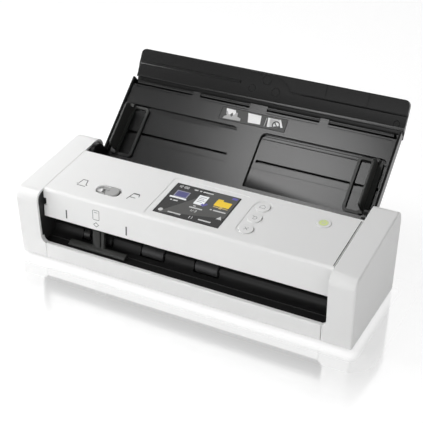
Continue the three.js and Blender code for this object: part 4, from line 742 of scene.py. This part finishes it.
class SCANNER_OT_display(bpy.types.Operator):
    """The display's glass and a plain lit menu of icons"""

    bl_idname = "scanner.display"
    bl_label = "Display"

    LEFT, RIGHT, NEAR, FAR = -29.0, 29.0, 9.3, 52.3
    SURFACE, SWEEP_HEIGHT, ICON_GAP, ICON_HEIGHT = -0.1, 0.01, 0.002, 0.02
    DETAIL_HEIGHT = 0.015
    DIGIT_HEIGHT = 2.6

    # The colour and the glow of each lit piece
    TONES = {
        "sweep": ((0.085, 0.085, 0.083), 0.25),
        "white": ((0.72, 0.73, 0.74), 0.35),
        "rim": ((0.30, 0.30, 0.36), 0.25),
        "blue": ((0.085, 0.085, 0.20), 0.3),
        "rows": ((0.22, 0.23, 0.25), 0.2),
        "tick": ((0.12, 0.11, 0.34), 0.3),
        "folder": ((0.72, 0.50, 0.05), 0.35),
        "cable": ((0.55, 0.42, 0.18), 0.3),
        "captions": ((0.50, 0.50, 0.50), 0.3),
    }

    # Left, right, lower and upper edges of the bars that stand for captions, in shares of the display
    BARS = (
        (0.30, 0.36, 0.895, 0.93), (0.385, 0.42, 0.895, 0.93), (0.44, 0.60, 0.895, 0.93),
        (0.09, 0.12, 0.44, 0.475), (0.135, 0.21, 0.44, 0.475),
        (0.46, 0.50, 0.425, 0.455), (0.42, 0.62, 0.365, 0.40),
        (0.71, 0.74, 0.44, 0.475), (0.76, 0.95, 0.44, 0.475),
        (0.20, 0.40, 0.075, 0.11), (0.53, 0.54, 0.05, 0.13), (0.57, 0.58, 0.05, 0.13),
        (0.67, 0.86, 0.075, 0.11),
    )

    # The strokes of seven-line digits
    STROKES = {"0": "abcdef", "1": "bc", "2": "abged", "3": "abgcd", "/": "s", ":": ""}

    def at(self, u, v):
        """A place of the display, from 0 to 1 across and up, in the panel's millimetres."""
        return (self.LEFT + u * (self.RIGHT - self.LEFT), self.NEAR + v * (self.FAR - self.NEAR))

    def area(self, relief, u0, u1, v0, v1, radius=0.0):
        """A rectangle of the display, with round corners if a radius is given."""
        (x0, y0), (x1, y1) = self.at(u0, v0), self.at(u1, v1)
        if radius:
            relief.patch(soft_corners(x0, x1, y0, y1, radius, 3))
        else:
            relief.box(x0, x1, y0, y1)

    def lit(self, relief, part):
        base, glow = self.TONES[part]
        light = ink_or_painted_shade(f"display_{part}_light", base, roughness=0.3, glow=glow)
        relief.piece("display_" + part, light, COVER, "screen_glass")

    def execute(self, context):
        moulding("screen_glass", finish(display_glass), GLASS_EDGE, shortest=10.0)
        self.sweep()
        low = self.SURFACE + self.SWEEP_HEIGHT + self.ICON_GAP
        self.shells(low)
        self.computer(low)
        self.document(low)
        self.folder(low)
        self.captions(low)
        return {"FINISHED"}

    def sweep(self):
        """The paler part of the display's background."""
        sweep = Relief(PANEL, self.SURFACE, self.SURFACE + self.SWEEP_HEIGHT)
        corners = ((0.58, 0.985), (0.985, 0.985), (0.985, 0.30), (0.10, 0.015), (0.07, 0.015))
        sweep.patch([self.at(*corner) for corner in corners])
        self.lit(sweep, "sweep")

    def shells(self, low):
        """The computer's white foot and the document's white sheet."""
        shells = Relief(PANEL, low, low + self.ICON_HEIGHT)
        self.area(shells, 0.045, 0.305, 0.53, 0.575, 0.4)
        self.area(shells, 0.43, 0.58, 0.50, 0.80, 0.4)
        self.lit(shells, "white")

    def computer(self, low):
        """The computer's rim and its blue screen."""
        high = low + self.ICON_HEIGHT
        rim = Relief(PANEL, low, high)
        self.area(rim, 0.085, 0.29, 0.58, 0.785, 0.5)
        self.lit(rim, "rim")
        blue = Relief(PANEL, high, high + self.DETAIL_HEIGHT)
        self.area(blue, 0.10, 0.275, 0.60, 0.765)
        self.lit(blue, "blue")

    def document(self, low):
        """The rows and the tick on the document's sheet, and the mark in the display's corner."""
        high = low + self.ICON_HEIGHT
        raised = high + self.DETAIL_HEIGHT
        rows = Relief(PANEL, high, raised)
        for row in range(4):
            self.area(rows, 0.455, 0.555 - 0.02 * (row % 2), 0.735 - 0.05 * row, 0.75 - 0.05 * row)
        self.lit(rows, "rows")
        tick = Relief(PANEL, raised, raised + self.ICON_HEIGHT)
        tick.stroke([self.at(0.55, 0.545), self.at(0.585, 0.515), self.at(0.625, 0.585)], 2.2)
        self.area(tick, 0.885, 0.965, 0.90, 0.965, 0.4)
        self.lit(tick, "tick")

    def folder(self, low):
        """A folder that stands on a cable."""
        high = low + self.ICON_HEIGHT
        folder = Relief(PANEL, low, high)
        self.area(folder, 0.71, 0.94, 0.60, 0.775, 0.5)
        self.area(folder, 0.715, 0.80, 0.765, 0.82, 0.4)
        self.lit(folder, "folder")
        cable = Relief(PANEL, low, high)
        self.area(cable, 0.72, 0.94, 0.555, 0.575)
        self.area(cable, 0.81, 0.85, 0.535, 0.60)
        self.lit(cable, "cable")

    def digits(self, relief, text, u, v):
        """Plain seven-line digits, with their left foot at a place of the display."""
        x, y = self.at(u, v)
        height = self.DIGIT_HEIGHT
        half, width = height / 2, height * 0.5
        ends = {"a": ((0, height), (width, height)), "b": ((width, height), (width, half)),
                "c": ((width, half), (width, 0)), "d": ((0, 0), (width, 0)), "e": ((0, half), (0, 0)),
                "f": ((0, height), (0, half)), "g": ((0, half), (width, half)),
                "s": ((0, 0), (width, height))}
        for sign in text:
            for part in self.STROKES[sign]:
                relief.stroke([(x + dx, y + dy) for dx, dy in ends[part]], height * 0.2)
            if sign == ":":
                for dy in (height * 0.25, height * 0.75):
                    relief.disc(x + width / 2, y + dy, height * 0.12, 8)
            x += width * (1.0 if sign == ":" else 1.7)

    def captions(self, low):
        """Plain bars, a pointer, a clock, a page count and a dot where a menu has its captions."""
        text = Relief(PANEL, low, low + self.ICON_HEIGHT)
        for bar in self.BARS:
            self.area(text, *bar, 0.35)
        text.patch([self.at(0.885, 0.235), self.at(0.965, 0.235), self.at(0.925, 0.335)])
        self.digits(text, "12:00", 0.05, 0.885)
        self.digits(text, "1/3", 0.46, 0.265)
        text.disc(*self.at(0.085, 0.10), 2.0)
        self.lit(text, "captions")


class SCANNER_OT_buttons(bpy.types.Operator):
    """Three panel buttons and the power button with plain marks"""

    bl_idname = "scanner.buttons"
    bl_label = "Buttons"

    COLUMN_X = 49.6
    TOP, MARK_HEIGHT = 0.5, 0.03

    def execute(self, context):
        edges = context.scene.scanner_edges
        plastic = finish(button_plastic)
        for node in ("panel_button_1", "panel_button_2", "panel_button_3", "power_button"):
            moulding(node, plastic, edges.buttons, shortest=0.5)
        self.panel_marks()
        self.power_mark()
        return {"FINISHED"}

    def drawing(self):
        return Relief(PANEL, self.TOP, self.TOP + self.MARK_HEIGHT)

    def panel_marks(self):
        """A house, a way back and a cross."""
        grey = ink_or_painted_shade("button_print", shaded(finish_settings().ink, 2.6), roughness=0.5)
        x, line = self.COLUMN_X, 0.4
        home = self.drawing()
        house = [(-2.2, 46.4), (-2.2, 48.6), (0, 50.6), (2.2, 48.6), (2.2, 46.4)]
        home.stroke([(x + dx, up) for dx, up in house], line, closed=True)
        home.piece("button_1_mark", grey, "button_1", "button_plastic")
        back = self.drawing()
        back.ring(x + 0.3, 32.3, 1.8, line, -150, 120, 14)
        back.stroke([(x - 2.4, 34.4), (x - 0.6, 34.0), (x - 1.0, 32.2)], line)
        back.piece("button_2_mark", grey, "button_2", "button_plastic")
        cross = self.drawing()
        for bar in (((-1.7, 15.3), (1.7, 18.7)), ((-1.7, 18.7), (-0.2, 17.2)), ((0.2, 16.8), (1.7, 15.3))):
            cross.stroke([(x + dx, up) for dx, up in bar], 0.45)
        cross.piece("button_3_mark", grey, "button_3", "button_plastic")

    def power_mark(self):
        """The usual ring and bar, over a faint tint of the whole button."""
        green = ink_or_painted_shade("power_print", finish_settings().power, roughness=0.4, glow=0.25)
        line = 0.75
        mark = self.drawing()
        mark.ring(POWER_X, POWER_UP, 2.5, line, 125, 415, 24)
        mark.stroke([(POWER_X, POWER_UP + 0.6), (POWER_X, POWER_UP + 3.6)], line)
        mark.piece("power_mark", green, "power", "button_plastic")
        pale = ink_or_painted_shade("power_tint", (0.72, 0.78, 0.52), roughness=0.4)
        tint = Relief(PANEL, self.TOP - self.MARK_HEIGHT, self.TOP + 0.005)
        tint.disc(POWER_X, POWER_UP, 4.1, 32)
        tint.piece("power_tint_disc", pale, "power", "button_plastic")


class SCANNER_OT_lever(bpy.types.Operator):
    """The sliding lever, its shutter, the grey floor of its recess and a painted shadow line round the
    lever
    """

    bl_idname = "scanner.lever"
    bl_label = "Lever"

    # The low and the high level of each part, in the panel's millimetres
    SHUTTER_LEVELS = (-2.66, -2.56)
    RECESS_LEVELS = (-1.4, -1.36)
    SHADE_LEVELS = (-1.2, -1.1)

    def execute(self, context):
        moulding("path_lever", finish(lever_plastic), LEVER_EDGE, shortest=1.0)
        self.recess()
        self.shade()
        self.shutter()
        return {"FINISHED"}

    def recess(self):
        """The recess's grey floor, on both sides of the slot that the lever slides in."""
        half_length, radius, half_slot = 5.5, 6.0, 2.0
        rim = arc(LEVER_X + half_length, LEVER_UP, radius, -90, 90, 18)
        rim += arc(LEVER_X - half_length, LEVER_UP, radius, 90, 270, 18)
        floor = Relief(PANEL, *self.RECESS_LEVELS)
        floor.patch([point for point in rim if point[1] >= LEVER_UP + half_slot])
        floor.patch([point for point in rim if point[1] <= LEVER_UP - half_slot])
        floor.piece("lever_recess", finish(recess_plastic), COVER, "white_plastic")

    def shade(self):
        """A dark painted shadow line round the lever, standing in for the shade where it sits in its
        recess.
        """
        # Painted shadow: a dark ring on the lever where its edge meets the recess floor.
        dark = ink_or_painted_shade("lever_line", shaded(finish_settings().lever, 0.12), roughness=0.5)
        shade = Relief(PANEL, *self.SHADE_LEVELS)
        shade.stroke(soft_corners(-78.5, -66.1, 13.4, 24.2, 5.3, 6), 0.9, closed=True)
        shade.piece("lever_shade", dark, "lever", "lever_plastic")

    def shutter(self):
        """A strip that slides with the lever and closes its slot from below."""
        half_width = 3.2
        shutter = Relief(PANEL, *self.SHUTTER_LEVELS)
        shutter.box(-84.0, -60.6, LEVER_UP - half_width, LEVER_UP + half_width)
        shutter.piece("lever_shutter", finish(lever_plastic), "lever", "lever_plastic")


class SCANNER_OT_slot(bpy.types.Operator):
    """The chutes, the card guide and all rubber rollers"""

    bl_idname = "scanner.slot"
    bl_label = "Paper slot"

    def execute(self, context):
        edges = context.scene.scanner_edges
        black = finish(chute_plastic)
        moulding("lower_chute", black, CHUTE_EDGE, shortest=10.0)
        moulding("card_guide", finish(guide_plastic), CARD_GUIDE_EDGE, shortest=2.0)
        for node in ("upper_chute", "rear_chute"):
            moulding(node, black, INNER_CHUTE_EDGE, shortest=10.0)
        rubber = finish(roller_rubber)
        for node in ("eject_roller_left", "eject_roller_right", "feed_roller_left", "feed_roller_right",
                     "pick_roller_left", "pick_roller_right", "separation_roller"):
            moulding(node, rubber, edges.rollers, shortest=1.0)
        moulding("eject_shaft", finish(shaft_plastic), edges.rollers * 0.6, shortest=1.0)
        return {"FINISHED"}


class SCANNER_OT_lid(bpy.types.Operator):
    """The lid's shell and panel with its icon plate"""

    bl_idname = "scanner.lid"
    bl_label = "Lid"

    PLATE_TOP, ICON_HEIGHT = 0.1, 0.02
    GROOVE_LEVELS = (-2.95, -2.0)

    def execute(self, context):
        edges = context.scene.scanner_edges
        black = finish(lid_plastic)
        moulding("lid_shell", black, edges.lid)
        moulding("lid_panel", black, edges.lid * 0.6, cutters=self.grooves())
        moulding("icon_plate", finish(plate_plastic), PLATE_EDGE)
        self.sheet_icons()
        self.tray_icon()
        self.card_icon()
        return {"FINISHED"}

    def grooves(self):
        """Shallow moulded lines along both bays."""
        cutters = []
        for side in (-1, 1):
            x0, x1 = sorted((side * 12.4, side * 123.2))
            for i, (up, width) in enumerate(((19.0, 0.8), (46.9, 0.9), (49.2, 0.9))):
                groove = Relief(LID, *self.GROOVE_LEVELS).box(x0, x1, up, up + width)
                cutters.append(groove.mesh(f"groove_{side}_{i}"))
        return cutters

    def icons(self, layer):
        """A new drawing on the plate, in one of the layers that lie over each other."""
        low = self.PLATE_TOP + layer * self.ICON_HEIGHT
        return Relief(LID, low, low + self.ICON_HEIGHT)

    def sheet_icons(self):
        """The white parts: a sheet in the tray, a sheet and a card's page."""
        sheets = self.icons(0)
        sheets.patch([(-28.1, 67.2), (-26.6, 61.8), (-17.0, 61.8), (-19.1, 66.9)])
        sheets.patch([(-7.1, 67.0), (5.5, 66.8), (6.9, 58.6), (-4.6, 58.2)])
        sheets.patch([(12.0, 66.6), (23.8, 66.8), (27.6, 60.2), (25.6, 59.8), (22.6, 65.0),
                      (15.2, 58.2), (13.4, 58.2)])
        sheets.patch([(14.0, 66.0), (23.2, 66.0), (24.0, 61.0), (15.6, 58.6)])
        white = ink_or_painted_shade("plate_print", (0.80, 0.80, 0.80))
        sheets.piece("plate_icons", white, "lid", "plate_plastic")

    def tray_icon(self):
        """The tray below the first sheet, and the page's folded side."""
        tray = self.icons(1)
        tray.patch([(-28.6, 57.2), (-28.0, 59.4), (-25.9, 60.6), (-27.4, 64.6), (-26.2, 64.8),
                    (-24.6, 62.0), (-19.4, 61.8), (-18.0, 65.0), (-16.4, 64.8), (-15.9, 61.4),
                    (-12.2, 60.2), (-12.0, 57.8)])
        tray.stroke([(10.9, 65.9), (10.9, 58.0)], 0.7)
        silver = ink_or_painted_shade("plate_silver", (0.42, 0.42, 0.42))
        tray.piece("plate_tray", silver, "lid", "plate_plastic")

    def card_icon(self):
        """The grey lines: an arrow's head on the tray, and a crossed ring on the page."""
        lines = self.icons(2)
        lines.patch([(-22.9, 62.0), (-21.4, 64.2), (-19.9, 62.0), (-21.4, 59.8)])
        lines.ring(20.9, 61.4, 3.1, 1.0)
        lines.stroke([(19.2, 63.4), (22.6, 59.4)], 0.9)
        grey = ink_or_painted_shade("plate_shade", (0.10, 0.10, 0.10))
        lines.piece("plate_icon_lines", grey, "lid", "plate_plastic")


class SCANNER_OT_guides(bpy.types.Operator):
    """Both paper guides with their fences"""

    bl_idname = "scanner.guides"
    bl_label = "Paper guides"

    def execute(self, context):
        edges = context.scene.scanner_edges
        plastic = finish(guide_plastic)
        for side in ("left", "right"):
            moulding(f"{side}_guide", plastic, edges.guides, shortest=6.0)
            moulding(f"{side}_guide_fence", plastic, edges.guides * 0.9, shortest=4.0)
        return {"FINISHED"}


class SCANNER_OT_flap(bpy.types.Operator):
    """The lid's flap and its swing-out paper arm"""

    bl_idname = "scanner.flap"
    bl_label = "Flap"

    SHADE_LEVELS = (-4.0, -3.97)
    SEAM_LEVELS = (-4.5, -3.0)

    def execute(self, context):
        edges = context.scene.scanner_edges
        black = finish(lid_plastic)
        moulding("lid_flap", black, edges.lid * 0.8)
        moulding("support_arm", black, edges.lid * 0.6, cutters=self.seams())
        moulding("flap_hinge_pin", finish(ground_steel), PIN_EDGE, shortest=0.2)
        self.shades()
        return {"FINISHED"}

    def shades(self):
        """Painted shade on the flap's face: dark rings round the ejector marks, with a short line above and
        a long strip at the left that darkens the groove.
        """
        shades = Relief(FLAP, *self.SHADE_LEVELS)
        for x, up, radius in ((-12.8, 15.1, 3.2), (9.7, 15.4, 3.7), (-0.3, 24.6, 4.2), (120.2, 10.2, 2.4)):
            shades.ring(x, up, radius, 0.8)
        shades.box(-17.6, -6.2, 28.0, 28.9)
        # Painted shade: a dark strip over the groove at the left.
        shades.box(-126.0, -25.0, 17.7, 19.6)
        dark = ink_or_painted_shade("flap_shade", shaded(finish_settings().lid, 0.35), roughness=0.5)
        shades.piece("flap_rings", dark, "flap", "lid_plastic")

    def seams(self):
        """Fine lines across the arm."""
        return [
            Relief(FLAP, *self.SEAM_LEVELS).box(x, x + 0.7, 18.2, 31.5).mesh(f"arm_seam_{i}")
            for i, x in enumerate((54.5, 92.2))
        ]


class SCANNER_OT_inside(bpy.types.Operator):
    """Base frame, feet, scan bars, boards, sockets and drive"""

    bl_idname = "scanner.inside"
    bl_label = "Inside"

    # What stays in view as the frame's own nodes
    FINISHES = (
        (inner_black, ("lower_scan_bar", "upper_scan_bar", "power_inlet")),
        (scan_glass, ("lower_scan_glass", "upper_scan_glass")),
        (circuit_board, ("main_board", "panel_board")),
        (gear_plastic, ("feed_gear", "pick_gear", "eject_gear", "pick_idler_gear", "eject_idler_gear",
                        "guide_pinion")),
        (ground_steel, ("feed_shaft", "pick_shaft", "feed_motor", "motor_pinion", "left_cap_screw",
                        "right_cap_screw", "host_port", "usb_port", "screen_module")),
    )

    def execute(self, context):
        moulding("base_frame", finish(inner_black), FRAME_EDGE, shortest=12.0)
        for end in ("front", "rear"):
            for side in ("left", "right"):
                moulding(f"foot_{end}_{side}", finish(foot_rubber), FOOT_EDGE, shortest=0.5)
        for build, nodes in self.FINISHES:
            dress(nodes, finish(build))
        return {"FINISHED"}


class SCANNER_OT_stage(bpy.types.Operator):
    """Pale floor, soft lamps and the camera"""

    bl_idname = "scanner.stage"
    bl_label = "Stage"

    PALE, WHITE, GLOSS = (0.80, 0.80, 0.80), (1, 1, 1, 1), (0.95, 0.95, 0.95, 1)
    FLOOR_Z = -0.0015
    FLOOR_SHARE, GLOSS_ROUGHNESS = 0.65, 0.10
    BACKDROP_Y, BACKDROP_TOP = 1.6, 2.4
    CEILING_START = 0.5

    # Half the body's width and depth, and how far from it the floor's mirror starts and ends to fade
    FOOTPRINT = (0.150, 0.0515, 0.0)
    FADE_START, FADE_END, FADE_DEPTH = 0.010, 0.075, 0.9

    # The share of the mirror that is left right under the body's edge, and how far out it is whole
    UNDER_SHARE, UNDER_EDGE = 0.3, 0.008

    # Each lamp's width and place
    LAMPS = {
        "key": (0.5, (-0.75, -0.10, 0.45)),
        "front": (1.0, (-0.25, -1.40, 0.25)),
        "side": (1.0, (1.20, -0.45, 0.40)),
        "lid": (0.34, (-0.37, -0.455, 1.205)),
    }
    LAMP_TARGET = (0, 0, 0.05)

    # The camera's place, and its yaw, pitch and roll in degrees
    CAMERA_PLACE = (0.3176532, -0.6296927, 0.4321114)
    CAMERA_TURN = (26.2194, 28.0495, 1.7549)
    CAMERA_RANGE = (0.01, 20)
    SENSOR_WIDTH = 36

    def execute(self, context):
        stage = context.scene.scanner_stage
        self.floor(stage)
        self.backdrop(stage)
        self.surround(stage)
        for name, (size, place) in self.LAMPS.items():
            self.lamp(name, getattr(stage, name), size, place)
        self.camera(stage)
        context.scene.view_settings.view_transform = "Standard"
        return {"FINISHED"}

    def sheet(self, name, corners, glow, share):
        """A pale sheet that also glows for the camera and for reflections, with its nodes."""
        mesh = bpy.data.meshes.new(name)
        mesh.from_pydata(corners, [], [(0, 1, 2, 3)])
        shader = Shader(name + "_pale")
        slow = shader.noise(cells=5)
        tone = shader.blend(shaded(self.PALE, 0.99), shaded(self.PALE, 1.01), slow)
        shader.set(base_color=tone, roughness=0.9)
        glowing = shader.add("ShaderNodeEmission", sockets={"Color": self.WHITE, "Strength": glow})
        plain = Value(shader, shader.surface.outputs[0])
        lit = shader.add("ShaderNodeMixShader", sockets={0: shader.passing() * share, 1: plain, 2: glowing})
        mesh.materials.append(shader.material)
        link(name, mesh)
        return shader, lit

    def floor(self, stage):
        """A pale floor that mirrors the scanner close to it."""
        half, z = stage.floor / 2, self.FLOOR_Z
        corners = [(-half, -half, z), (half, -half, z), (half, half, z), (-half, half, z)]
        shader, lit = self.sheet("floor", corners, stage.glow, self.FLOOR_SHARE)
        distance = self.distance(shader)
        fade = shader.ramp(distance, self.FADE_START, self.FADE_END)
        under = shader.ramp(distance, 0.0, self.UNDER_EDGE, low=self.UNDER_SHARE)
        share = (1 - fade * self.FADE_DEPTH) * stage.mirror * under
        gloss = shader.add("ShaderNodeBsdfGlossy", sockets={
            "Color": self.GLOSS, "Roughness": self.GLOSS_ROUGHNESS})
        shader.show(shader.add("ShaderNodeMixShader", sockets={0: share, 1: lit, 2: gloss}))

    def distance(self, shader):
        """How far a point of the floor lies from the body's outline."""
        away = shader.place
        zero = (0, 0, 0)
        for operation, limit in (("ABSOLUTE", zero), ("SUBTRACT", self.FOOTPRINT), ("MAXIMUM", zero)):
            away = shader.add("ShaderNodeVectorMath", {"operation": operation}, {0: away, 1: limit})
        return shader.add("ShaderNodeVectorMath", {"operation": "LENGTH"}, {0: away}, output="Value")

    def backdrop(self, stage):
        """An upright sheet behind the object, which the floor reflects."""
        half, y, top = stage.floor / 2, self.BACKDROP_Y, self.BACKDROP_TOP
        corners = [(-half, y, 0), (half, y, 0), (half, y, top), (-half, y, top)]
        shader, lit = self.sheet("backdrop", corners, 1.0, 1.0)
        shader.show(lit)

    def surround(self, stage):
        """Light that fades from a white horizon to a dim ceiling."""
        world = bpy.data.worlds.new("surround")
        bpy.context.scene.world = world
        world.use_nodes = True
        nodes = Nodes(world.node_tree)
        ray = nodes.add("ShaderNodeTexCoord", output="Generated")
        height = nodes.add("ShaderNodeSeparateXYZ", sockets={0: ray}, output="Z")
        background = world.node_tree.nodes["Background"]
        nodes.feed(background.inputs["Color"], self.WHITE)
        light = nodes.ramp(height, 0.0, self.CEILING_START, stage.sky, stage.ceiling)
        nodes.feed(background.inputs["Strength"], light)

    def lamp(self, name, watts, size, place):
        data = bpy.data.lights.new(name, "AREA")
        data.energy = watts
        data.shape = "DISK"
        data.size = size
        lamp = bpy.data.objects.new(name + "_lamp", data)
        lamp.location = place
        aim = Vector(self.LAMP_TARGET) - Vector(place)
        lamp.rotation_euler = aim.to_track_quat("-Z", "Y").to_euler()
        bpy.context.scene.collection.objects.link(lamp)

    def camera(self, stage):
        """The camera at the photograph's angle."""
        yaw, pitch, roll = (math.radians(angle) for angle in self.CAMERA_TURN)
        level = Vector((math.cos(yaw), math.sin(yaw), 0))
        forward = Vector((-math.sin(yaw), math.cos(yaw), 0))
        ahead = forward * math.cos(pitch) - Vector((0, 0, math.sin(pitch)))
        upright = level.cross(ahead)
        right = level * math.cos(roll) + upright * math.sin(roll)
        up = upright * math.cos(roll) - level * math.sin(roll)
        data = bpy.data.cameras.new("camera")
        data.sensor_width = self.SENSOR_WIDTH
        data.lens = stage.lens
        data.clip_start, data.clip_end = self.CAMERA_RANGE
        camera = bpy.data.objects.new("camera", data)
        turn = Matrix((right, up, -ahead)).transposed().to_4x4()
        camera.matrix_world = Matrix.Translation(self.CAMERA_PLACE) @ turn
        bpy.context.scene.collection.objects.link(camera)
        bpy.context.scene.camera = camera


OPERATORS = (
    SCANNER_OT_stage, SCANNER_OT_case, SCANNER_OT_front_cover, SCANNER_OT_display,
    SCANNER_OT_buttons, SCANNER_OT_lever, SCANNER_OT_slot, SCANNER_OT_lid, SCANNER_OT_guides,
    SCANNER_OT_flap, SCANNER_OT_inside,
)
GROUPS = {
    "scanner_finishes": ScannerFinishes,
    "scanner_edges": ScannerEdges,
    "scanner_stage": ScannerStage,
}


class SCANNER_PT_sidebar(bpy.types.Panel):
    """Sizes, colours and the scanner's pieces"""

    bl_idname = "SCANNER_PT_sidebar"
    bl_label = "Desktop scanner"
    bl_space_type = "VIEW_3D"
    bl_region_type = "UI"
    bl_category = "Scanner"

    def draw(self, context):
        for name, group in GROUPS.items():
            box = self.layout.box()
            for key in group.__annotations__:
                box.prop(getattr(context.scene, name), key)
        for operator in OPERATORS:
            self.layout.operator(operator.bl_idname)


def register():
    for cls in (*GROUPS.values(), *OPERATORS, SCANNER_PT_sidebar):
        bpy.utils.register_class(cls)
    for name, group in GROUPS.items():
        setattr(bpy.types.Scene, name, PointerProperty(type=group))


def unregister():
    for name in GROUPS:
        delattr(bpy.types.Scene, name)
    for cls in reversed((*GROUPS.values(), *OPERATORS, SCANNER_PT_sidebar)):
        bpy.utils.unregister_class(cls)


def main():
    register()
    for operator in OPERATORS:
        getattr(bpy.ops.scanner, operator.bl_idname.split(".")[1])()


if __name__ == "__main__":
    main()
